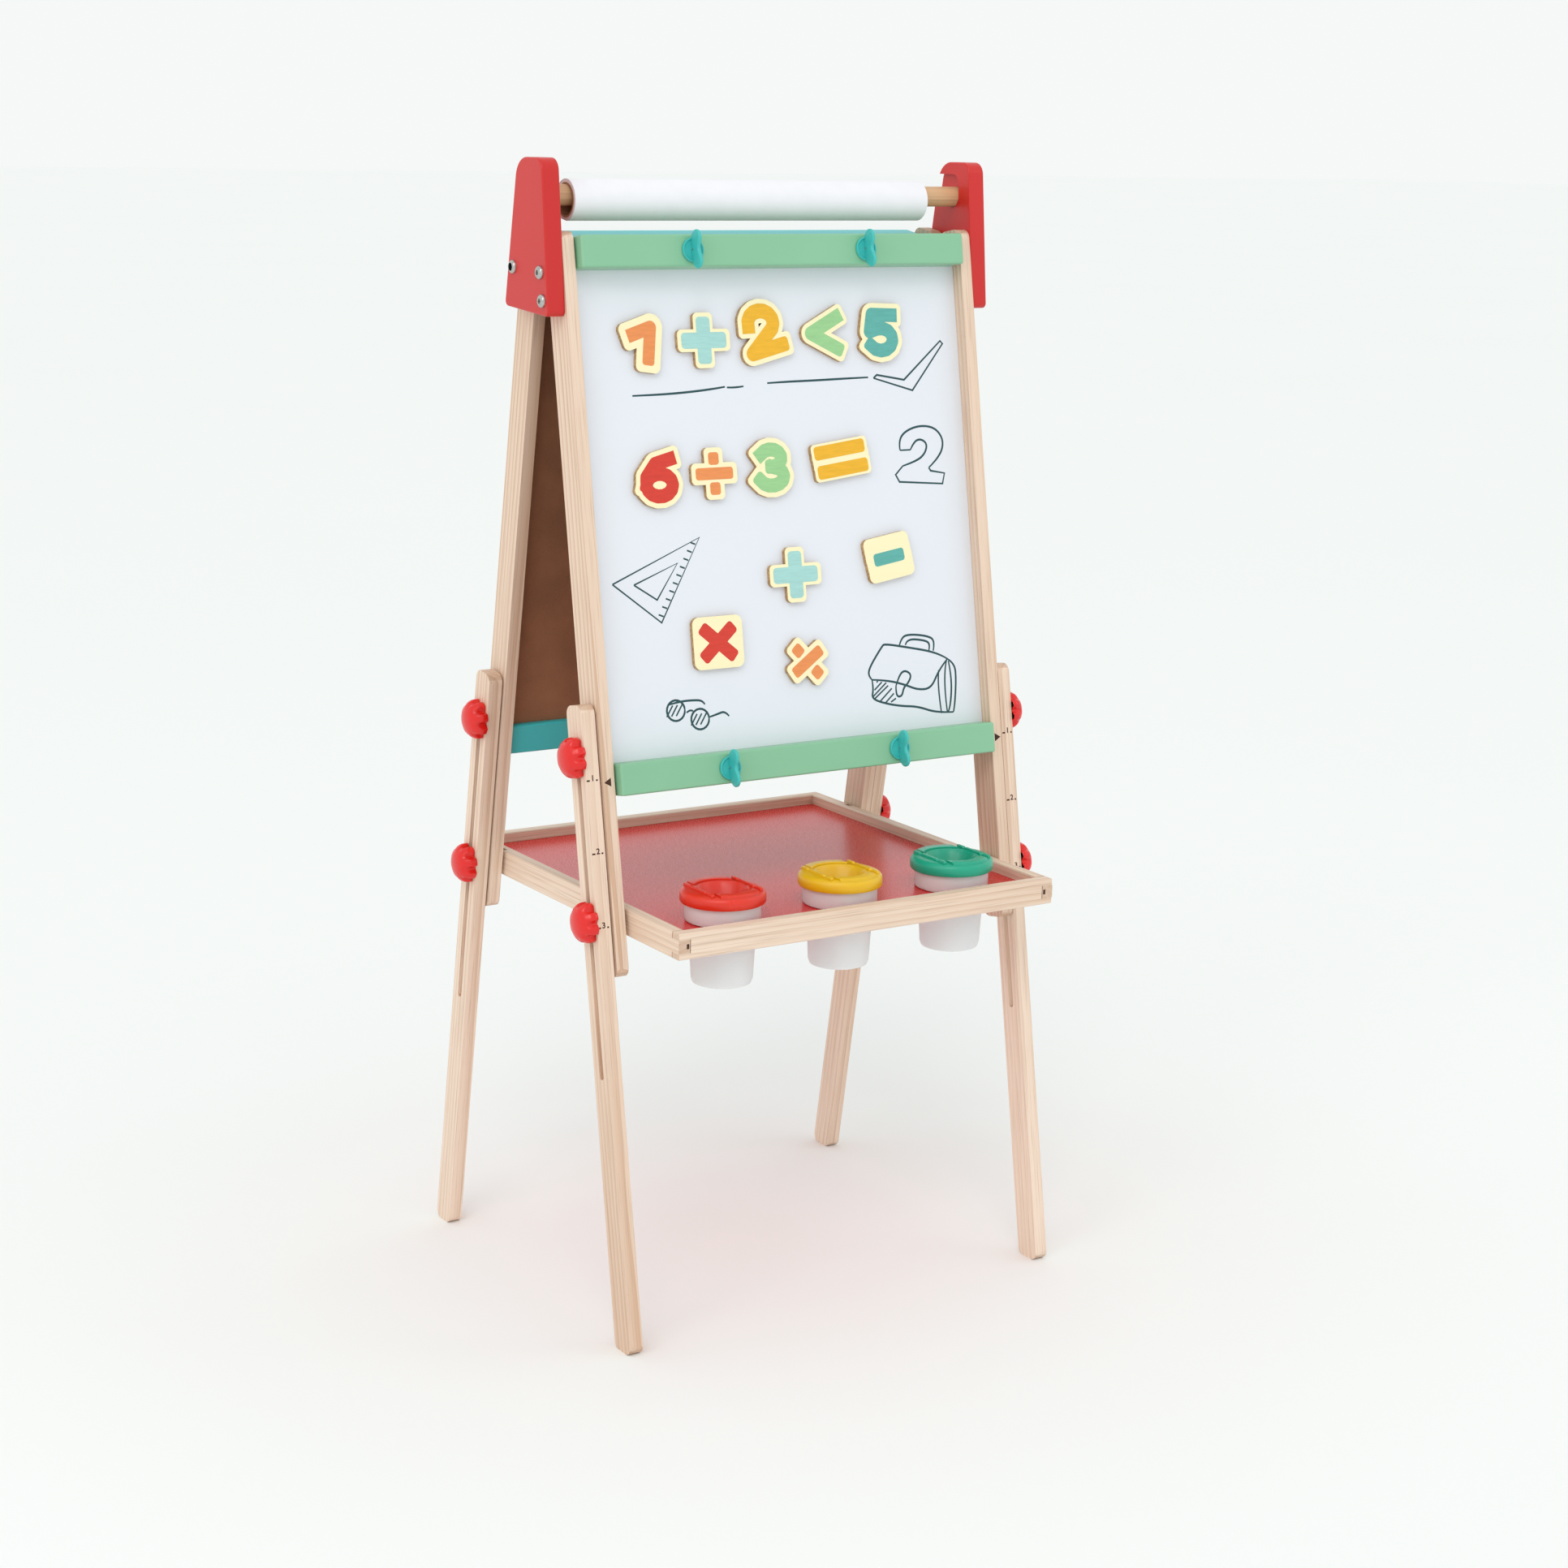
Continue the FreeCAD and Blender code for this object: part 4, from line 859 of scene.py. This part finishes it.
class EASEL_OT_lids(EaselOperator):
    """Makes the no-spill lids with their funnels and brush rests"""
    bl_idname = "easel.lids"
    bl_label = "Cup lids"

    def execute(self, context):
        colours = context.scene.easel_colours
        tones = {"left": (colours.lid_left, "red_plastic"),
                 "middle": (colours.lid_middle, "yellow_plastic"),
                 "right": (colours.lid_right, "green_plastic")}
        low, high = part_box("lid_middle")
        model = self.lid((high[0] - low[0]) / 2, low[2], high[2])
        for hand, (tone, slot) in tones.items():
            x, y = middle(f"lid_{hand}")[:2]
            plastic = moulded_finish(f"lid_{hand}", tuple(tone), 0.26, 0.2, 0.1)
            lid = copied(model, f"no_spill_lid_{hand}")
            settle(lid, Matrix.Translation((x, y, 0)))
            finished(lid, plastic, f"lid_{hand}", [f"lid_{hand}"], 35)
        bpy.data.objects.remove(model)
        return {"FINISHED"}

    def lid(self, wide, bottom, top):
        """A rounded cap with a funnel, two crescent pads and two notched ribs."""
        face = top - 2.2 * MM
        rim = face - 5.5 * MM
        skirt = face - 12 * MM
        bore = 35.4 * MM            # round the cup's shoulder
        pads_in = 26.8 * MM         # inner radius of the crescent pads
        rib_x = 25.4 * MM
        cap = turned("cap", [
            (bore, skirt), (wide - 0.8 * MM, skirt), (wide, skirt + 1.2 * MM),
            (wide, face - 5.2 * MM), (wide - 0.5 * MM, face - 3.2 * MM),
            (wide - 1.9 * MM, face - 1.5 * MM), (wide - 4.2 * MM, face - 0.4 * MM),
            (wide - 7 * MM, face), (rib_x, face), (24.6 * MM, face + 0.5 * MM),
            (23.6 * MM, face + 0.5 * MM), (22.8 * MM, face - 0.3 * MM),
            (20.5 * MM, face - 4 * MM), (15.5 * MM, bottom + 9 * MM), (11.7 * MM, bottom),
            (13.2 * MM, bottom), (17.0 * MM, bottom + 9 * MM), (22.5 * MM, rim - 1 * MM),
            (25 * MM, rim), (bore, rim), (bore, skirt)], 128)
        ring = turned("pads", [
            (pads_in, face - 1 * MM), (pads_in, face + 1.1 * MM), (27.6 * MM, face + 1.7 * MM),
            (wide - 4.4 * MM, face + 1.7 * MM), (wide - 3.2 * MM, face + 0.9 * MM),
            (wide - 2.6 * MM, face - 1.6 * MM), (pads_in, face - 1 * MM)], 128)
        carve(ring, block("keep", (40 * MM, 0.1, 0.02), (0, 0, face)), "INTERSECT")
        parts = [cap, ring]
        for side in (-1, 1):
            x = side * rib_x
            half = (wide - 3.5 * MM) ** 2 - x ** 2
            rib = block("rib", (3.4 * MM, 2 * half ** 0.5, 3.4 * MM),
                        (x, 0, face + 0.5 * MM), 0.8 * MM)
            for spot in (-1, 1):
                notch = rod("notch", 2.6 * MM, 0.02, (x, spot * 14 * MM, face + 3.2 * MM), 32,
                            (0, pi / 2, 0))
                carve(rib, notch)
            parts.append(rib)
        return joined("lid", parts)


def arc(x, y, radius_x, radius_y, start, end, steps):
    """Points along part of an ellipse, in degrees."""
    turns = [radians(start + (end - start) * step / steps) for step in range(steps + 1)]
    return [(x + radius_x * cos(turn), y + radius_y * sin(turn)) for turn in turns]


# A figure's strokes run through these points. Each is centred on (0, 0) and about 1 high.
FIGURES = {
    "one": [[(-0.24, 0.20), (0.14, 0.34), (0.06, -0.34)]],
    "two": [arc(-0.04, 0.20, 0.24, 0.23, 190, -30, 9) + [(-0.26, -0.36), (0.32, -0.24)]],
    "three": [arc(0.0, 0.18, 0.21, 0.17, 150, -70, 8) + [(0.0, 0.02)],
              arc(0.0, -0.17, 0.24, 0.18, 80, -160, 9)],
    "five": [[(0.26, 0.34), (-0.14, 0.36), (-0.20, 0.03)]
             + arc(0.02, -0.13, 0.24, 0.22, 105, -150, 9)],
    "six": [[(0.22, 0.35), (-0.06, 0.27), (-0.24, 0.02), (-0.25, -0.15)]
            + arc(0.0, -0.14, 0.25, 0.22, 180, 540, 14)],
    "plus": [[(-0.33, 0.0), (0.33, 0.0)], [(0.0, -0.33), (0.0, 0.33)]],
    "times": [[(-0.26, -0.26), (0.26, 0.26)], [(-0.26, 0.26), (0.26, -0.26)]],
    "divide": [[(-0.30, 0.0), (0.30, 0.0)], [(0.0, 0.33), (0.0, 0.34)],
               [(0.0, -0.33), (0.0, -0.34)]],
    "equals": [[(-0.50, 0.24), (0.50, 0.24)], [(-0.50, -0.24), (0.50, -0.24)]],
    "minus": [[(-0.26, 0.0), (0.26, 0.0)]],
    "less": [[(0.30, 0.34), (-0.28, 0.0), (0.30, -0.34)]],
}

# magnet: (figure, ink, x in mm, distance down in mm, height in mm, turn in degrees, width share)
MAGNETS = {
    "one": ("one", "orange", -139.9, 100.5, 41.0, 0, 0.30),
    "plus_top": ("plus", "pale_blue", -77.7, 99.3, 43.0, 0, 0.34),
    "two": ("two", "yellow", -12.6, 94.4, 49.0, 4, 0.28),
    "less": ("less", "green", 52.8, 95.5, 43.0, 0, 0.30),
    "five": ("five", "teal", 116.2, 96.5, 48.0, 0, 0.27),
    "six": ("six", "red", -135.1, 221.9, 47.0, 0, 0.27),
    "divide_upper": ("divide", "orange", -76.7, 220.7, 41.0, 0, 0.27),
    "three": ("three", "green", -15.0, 218.0, 48.0, 0, 0.27),
    "equals": ("equals", "yellow", 63.1, 213.5, 38.0, 8, 0.34),
    "plus_middle": ("plus", "pale_blue", 3.5, 318.6, 44.0, 0, 0.34),
    "minus": ("minus", "teal", 109.9, 308.8, 38.0, 10, 0.32),
    "times": ("times", "red", -85.4, 375.1, 42.0, 0, 0.30),
    "divide_lower": ("divide", "orange", 10.2, 400.5, 41.0, 38, 0.27),
}
FIGURE_STRETCH = 1.17           # figures are this much wider than drawn above
MAGNET_FACE = 4.72 * MM         # a print's middle in front of the whiteboard
LAYER_STEP = 0.06               # how much thicker each overlapping part of a print is


class EASEL_OT_magnets(EaselOperator):
    """Finishes the magnets and prints a coloured figure on each"""
    bl_idname = "easel.magnets"
    bl_label = "Magnets"

    def execute(self, context):
        sizes = context.scene.easel_sizes
        colours = context.scene.easel_colours
        tile = tile_finish("tile", tuple(colours.tile))
        for name, (figure, ink, x, down, height, turn, share) in MAGNETS.items():
            node = f"magnet_{name}"
            dress(node, tile)
            print_ink = material(f"ink_{ink}", ink_finish, INKS[ink])
            angle = radians(turn)
            parts = []
            for stroke in FIGURES[figure]:
                points = [((u * cos(angle) - v * sin(angle)) * height * FIGURE_STRETCH * MM,
                           (u * sin(angle) + v * cos(angle)) * height * MM) for u, v in stroke]
                parts += self.stroke(points, share * height / 2 * MM, sizes.ink_thickness)
            print_piece = joined(f"print_{name}", self.layered(parts))
            settle(print_piece, on_front(x * MM, -BOARD_FACE + MAGNET_FACE, down * MM))
            finished(print_piece, print_ink, node)
        return {"FINISHED"}

    def layered(self, parts):
        """Makes each part a hair thicker than the one before, so that no two faces coincide."""
        for index, part in enumerate(parts):
            settle(part, Matrix.Scale(1 + LAYER_STEP * index, 4, (0, 1, 0)))
        return parts

    def stroke(self, points, half, thickness):
        """Strips between a stroke's points, with discs where they meet. The two ends are drawn
        out by half the width and have rounded corners."""
        parts = [rod("dot", half, thickness, (x, 0, z), 40, (pi / 2, 0, 0))
                 for x, z in points[1:-1]]
        last = len(points) - 2
        for index, ((x0, z0), (x1, z1)) in enumerate(zip(points, points[1:])):
            run = hypot(x1 - x0, z1 - z0)
            low = half if index == 0 else 0
            high = half if index == last else 0
            strip = block("strip", (run + low + high, thickness, 2 * half),
                          ((high - low) / 2, 0, 0))
            if low or high:
                self.round_ends(strip, half * 0.5, low, high)
            middle = Matrix.Translation(((x0 + x1) / 2, 0, (z0 + z1) / 2))
            parts.append(settle(strip, middle @ Matrix.Rotation(-atan2(z1 - z0, x1 - x0), 4, "Y")))
        return parts

    def round_ends(self, strip, radius, low, high):
        """Rounds the upright corners at the ends that are drawn out."""
        only(strip)
        bpy.ops.object.mode_set(mode="EDIT")
        bpy.ops.mesh.select_all(action="DESELECT")
        mesh = bmesh.from_edit_mesh(strip.data)
        for edge in mesh.edges:
            first, second = (vert.co for vert in edge.verts)
            is_corner = abs(first.x - second.x) + abs(first.z - second.z) < 1e-7
            edge.select = is_corner and (bool(low) if first.x < 0 else bool(high))
        bmesh.update_edit_mesh(strip.data)
        bpy.ops.mesh.bevel(offset=radius, segments=6, affect="EDGES")
        bpy.ops.object.mode_set(mode="OBJECT")


# Marker lines on the whiteboard: (x, distance down the frame) in mm, smooth or straight.
SMOOTH_LINES = [
    [(-154, 147), (-124, 146.8), (-94, 145.4), (-69, 143.4), (-56, 141.8)],
    [(-54, 142.4), (-46, 143.1), (-36, 141.9)],
    [(-10, 139.8), (12, 139.1), (39, 138.9), (76, 138.1), (103, 137.7)],
    [(134, 208), (133, 199), (141, 190), (159, 185), (177, 188), (186, 201), (180, 216),
     (166, 226)],
    [(136, 223), (153, 219), (163, 212), (166, 203), (159, 198), (151, 200), (146, 208)],
    [(-140, 428), (-128, 426), (-115, 426), (-104, 427), (-102, 431)],
    [(-122, 437), (-118, 434), (-115, 436)],
    [(-98, 443), (-89, 441), (-81, 439), (-77, 444)],
    [(84, 424), (85, 433), (82, 442), (98, 448), (116, 452), (135, 454), (156, 462), (176, 463)],
    [(84, 424), (102, 426), (122, 432), (136, 438), (152, 438), (162, 421), (173, 411)],
    [(173, 411), (162, 404), (126, 396), (101, 391), (98, 393), (82, 412), (80, 420), (84, 424)],
    [(173, 411), (181, 416), (182, 430), (178, 458), (176, 463)],
    [(162, 421), (159, 434), (162, 463)],
    [(172, 412), (166, 428), (169, 463)],
    [(174, 413), (177, 430), (173, 458), (170, 462)],
    [(118, 394), (121, 386), (131, 384), (151, 387), (160, 392), (157, 402)],
    [(125, 394), (127, 388), (148, 391), (154, 395), (152, 401)],
    [(111, 432), (116, 421), (123, 418), (130, 423), (125, 431), (120, 434), (117, 443),
     (110, 442), (111, 432)],
]
STRAIGHT_LINES = [
    [(109, 138.6), (113, 135.7), (144, 141.2), (189, 105.2), (191.6, 108), (153, 151.5),
     (109, 138.6)],
    [(134, 208), (146, 208)],
    [(166, 226), (168, 229), (184, 232), (181, 242), (131, 238), (127, 231), (136, 223)],
    [(-189, 315), (-95, 278), (-141, 353), (-189, 315)],
    [(-167, 317), (-120, 300), (-144, 332), (-167, 317)],
    [(89, 427), (91, 425)],
    [(86, 434), (95, 427)],
    [(84, 440), (100, 428)],
    [(86, 442), (102, 431)],
    [(92, 445), (106, 434)],
    [(98, 447), (108, 439)],
    [(104, 447), (110, 444)],
]
LENSES = [(-133, 434), (-108, 444)]
LENS_RADIUS = 9.5
FLATTENING = 0.05               # round marker lines are pressed this flat


class EASEL_OT_drawings(EaselOperator):
    """Draws the marker lines on the whiteboard"""
    bl_idname = "easel.drawings"
    bl_label = "Marker drawings"

    def execute(self, context):
        sizes = context.scene.easel_sizes
        colours = context.scene.easel_colours
        ink = ink_finish("marker_ink", tuple(colours.marker), 0.3, 0.3)
        lines = [(points, "NURBS") for points in SMOOTH_LINES]
        lines += [(points, "POLY") for points in STRAIGHT_LINES]
        lines += [(self.ticks(index), "POLY") for index in range(10)]
        for x, down in LENSES:
            lines.append((arc(x, down, LENS_RADIUS, LENS_RADIUS, 0, 360, 20), "POLY"))
            for offset in (-5, 0, 5):
                lines.append(([(x - 5 + offset, down + 5), (x + 2 + offset, down - 5)], "POLY"))
        curve = bpy.data.curves.new("marker", "CURVE")
        curve.dimensions = "3D"
        curve.bevel_depth = sizes.marker_width / 2
        curve.bevel_resolution = 2
        curve.resolution_u = 6
        curve.use_fill_caps = True
        for points, kind in lines:
            spline = curve.splines.new(kind)
            spline.points.add(len(points) - 1)
            for index, (x, down) in enumerate(points):
                spline.points[index].co = (x * MM, 0, -down * MM, 1)
                ends = index in (0, len(points) - 1)
                spline.points[index].radius = 0.75 if ends else 1.0
            if kind == "NURBS":
                spline.order_u = 3
                spline.use_endpoint_u = True
        drawing = meshed("marker_drawings", curve)
        flat = Matrix.Scale(FLATTENING, 4, (0, 1, 0))
        settle(drawing, on_front(0, -BOARD_FACE + HAIR, 0) @ flat)
        finished(drawing, ink, "front_frame")
        return {"FINISHED"}

    def ticks(self, index):
        """One of the short marks along the set square's long side."""
        share = 0.08 + 0.094 * index
        x, down = -95 - 46 * share, 278 + 75 * share
        return [(x - 1, down), (x - 6, down - 2)]


MARK_DOWNS = {"1": 486 * MM, "2": 552 * MM, "3": 619 * MM}
MARK_X = 230.5 * MM             # the middle of a leg's front face
MARK_OUT = -1.97 * MM           # the legs' faces lie behind the uprights'
POINTER_X = 215.5 * MM
POINTER_DOWN = 491 * MM


class EASEL_OT_height_marks(EaselOperator):
    """Burns the height numbers into the legs and the pointers into the uprights"""
    bl_idname = "easel.height_marks"
    bl_label = "Height marks"

    def execute(self, context):
        sizes = context.scene.easel_sizes
        colours = context.scene.easel_colours
        burnt = ink_finish("burnt", tuple(colours.burnt), 0.7, 0.5)
        for frame_side, place in (("front", on_front), ("rear", on_rear)):
            for side in (-1, 1):
                hand = "right" if (side > 0) == (frame_side == "front") else "left"
                marks = []
                for number, down in MARK_DOWNS.items():
                    for mark in self.number(number, sizes.mark_height):
                        marks.append(settle(mark, place(side * MARK_X, MARK_OUT, down)))
                leg = joined(f"marks_{frame_side}_leg_{hand}", marks)
                finished(leg, burnt, f"{frame_side}_leg_{hand}")
                pointer = self.pointer(side)
                settle(pointer, place(side * POINTER_X, HAIR, POINTER_DOWN))
                pointer.name = f"pointer_{frame_side}_{hand}"
                finished(pointer, burnt, f"{frame_side}_frame")
        return {"FINISHED"}

    def number(self, number, height):
        """A number with a dash on its left and a dot on its right."""
        bpy.ops.object.select_all(action="DESELECT")
        bpy.ops.object.text_add(rotation=(pi / 2, 0, 0))
        text = bpy.context.object
        text.data.body = number
        text.data.size = height * 1.4
        text.data.align_x = "CENTER"
        text.data.align_y = "CENTER"
        text.data.extrude = 0.04 * MM
        text.data.offset = 0.0002
        bpy.ops.object.convert(target="MESH")
        bpy.ops.object.transform_apply(location=True, rotation=True, scale=True)
        foot = 0.7 * MM - height / 2
        dash = block("dash", (3.2 * MM, 0.08 * MM, 1.5 * MM), (-4.6 * MM, 0, foot))
        dot = block("dot", (1.8 * MM, 0.08 * MM, 1.5 * MM), (4.2 * MM, 0, foot))
        return [bpy.data.objects[text.name], dash, dot]

    def pointer(self, side):
        """A small triangle that points at the leg."""
        tip = rod("pointer", 4.6 * MM, 0.08 * MM, (0, 0, 0), 3, (pi / 2, 0, 0))
        return settle(tip, Matrix.Rotation(side * pi / 2, 4, "Y"))


class EASEL_OT_tray_pins(EaselOperator):
    """Paints dark patches for the shade in the small pin holes and in the seams beside the tray's
    corner joints
    """
    bl_idname = "easel.tray_pins"
    bl_label = "Tray pin hole painted shade"

    def execute(self, context):
        burnt = bpy.data.materials["burnt"]
        pins = []
        for end in ("front", "rear"):
            low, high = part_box(f"tray_rail_{end}")
            face = low[1] - HAIR if end == "front" else high[1] + HAIR
            for side in (-1, 1):
                x = side * (high[0] - 9.5 * MM)
                z = (low[2] + high[2]) / 2
                # Painted shade: each pin is a dark patch for the shade inside a pin hole, and each
                # gap is a dark strip for the shade in the finger joint's seam, both in the burnt
                # colour.
                pins.append(block("pin", (2.6 * MM, 0.1 * MM, 4.6 * MM), (x, face, z), 0.02 * MM))
                pins.append(block("gap", (0.5 * MM, 0.1 * MM, 12.6 * MM),
                                  (side * (high[0] - 12 * MM), face, z)))
        finished(joined("tray_pin_hole_painted_shade", pins), burnt, "tray")
        return {"FINISHED"}


FLOOR_TONES = ((0.882, 0.897, 0.89), (0.888, 0.903, 0.896))
SKY_TONE = (0.98, 1.0, 0.99, 1)
SKY_STRENGTH = 0.94
SUN_TURN = (radians(34), radians(-30), 0)
SUN_ENERGY = 0.42
SUN_SPREAD = radians(24)
SUN_TONE = (1.0, 0.985, 0.96)
# Lamps: (place, size, power)
LAMPS = (((-2.6, -1.2, 2.4), 1.3, 10), ((2.4, -1.6, 2.2), 1.0, 3))
LAMPS_AIM = (0, 0, 0.6)
CAMERA_AT = (-1.4352, -2.3137, 1.0910)
CAMERA_TURN, CAMERA_TILT, CAMERA_ROLL = -32.477, 90 - 12.808, 1.091
CAMERA_LENS = 66.12


class EASEL_OT_stage(EaselOperator):
    """Makes the pale floor, the soft lights and the camera"""
    bl_idname = "easel.stage"
    bl_label = "Stage"

    def execute(self, context):
        self.floor()
        self.lights()
        self.camera()
        return {"FINISHED"}

    def floor(self):
        """A wide flat floor."""
        floor = added("pale_floor", bpy.ops.mesh.primitive_plane_add, size=120)
        finish = Finish("pale_floor", roughness=0.9, specular_ior_level=0.1)
        drift = finish.noise(finish.place, 0.6, 2.0)
        finish.tint(drift, 0.3, 0.7, *FLOOR_TONES)
        floor.data.materials.append(finish.material)

    def lights(self):
        """An even sky, a soft sun and two weak lamps."""
        world = bpy.data.worlds.new("studio")
        bpy.context.scene.world = world
        world.use_nodes = True
        background = world.node_tree.nodes["Background"]
        background.inputs["Color"].default_value = SKY_TONE
        background.inputs["Strength"].default_value = SKY_STRENGTH
        bpy.ops.object.select_all(action="DESELECT")
        bpy.ops.object.light_add(type="SUN", rotation=SUN_TURN)
        sun = bpy.context.object
        sun.data.energy = SUN_ENERGY
        sun.data.angle = SUN_SPREAD
        sun.data.color = SUN_TONE
        for at, size, energy in LAMPS:
            bpy.ops.object.light_add(type="AREA", location=at)
            lamp = bpy.context.object
            lamp.data.size = size
            lamp.data.energy = energy
            aim = Vector(LAMPS_AIM) - Vector(at)
            lamp.rotation_euler = aim.to_track_quat("-Z", "Y").to_euler()

    def camera(self):
        """Looks at the whiteboard from the front left, a little above the middle."""
        scene = bpy.context.scene
        scene.view_settings.view_transform = "Standard"
        bpy.ops.object.camera_add()
        camera = bpy.context.object
        camera.data.sensor_width = 36.0
        camera.data.lens = CAMERA_LENS
        camera.data.clip_end = 200
        turn = Matrix.Rotation(radians(CAMERA_TURN), 4, "Z")
        tilt = Matrix.Rotation(radians(CAMERA_TILT), 4, "X")
        roll = Matrix.Rotation(radians(CAMERA_ROLL), 4, "Z")
        camera.matrix_world = Matrix.Translation(CAMERA_AT) @ turn @ tilt @ roll
        scene.camera = camera


OPERATORS = (
    EASEL_OT_wood,
    EASEL_OT_paintwork,
    EASEL_OT_boards,
    EASEL_OT_bolts,
    EASEL_OT_knobs,
    EASEL_OT_clips,
    EASEL_OT_paper_roll,
    EASEL_OT_cups,
    EASEL_OT_lids,
    EASEL_OT_magnets,
    EASEL_OT_drawings,
    EASEL_OT_height_marks,
    EASEL_OT_tray_pins,
    EASEL_OT_stage,
)


class EASEL_PT_pieces(bpy.types.Panel):
    """Lists the easel's pieces and their settings"""
    bl_idname = "EASEL_PT_pieces"
    bl_label = "Kids easel"
    bl_space_type = "VIEW_3D"
    bl_region_type = "UI"
    bl_category = "Easel"

    def draw(self, context):
        for group in (context.scene.easel_sizes, context.scene.easel_colours):
            for name in group.__annotations__:
                self.layout.prop(group, name)
        for operator in OPERATORS:
            self.layout.operator(operator.bl_idname)


CLASSES = (EaselSizes, EaselColours, *OPERATORS, EASEL_PT_pieces)


def register():
    for cls in CLASSES:
        bpy.utils.register_class(cls)
    bpy.types.Scene.easel_sizes = PointerProperty(type=EaselSizes)
    bpy.types.Scene.easel_colours = PointerProperty(type=EaselColours)


def unregister():
    del bpy.types.Scene.easel_colours
    del bpy.types.Scene.easel_sizes
    for cls in reversed(CLASSES):
        bpy.utils.unregister_class(cls)


def main():
    """Makes every piece and the stage."""
    register()
    for operator in OPERATORS:
        group, name = operator.bl_idname.split(".")
        getattr(getattr(bpy.ops, group), name)()


if __name__ == "__main__":
    main()
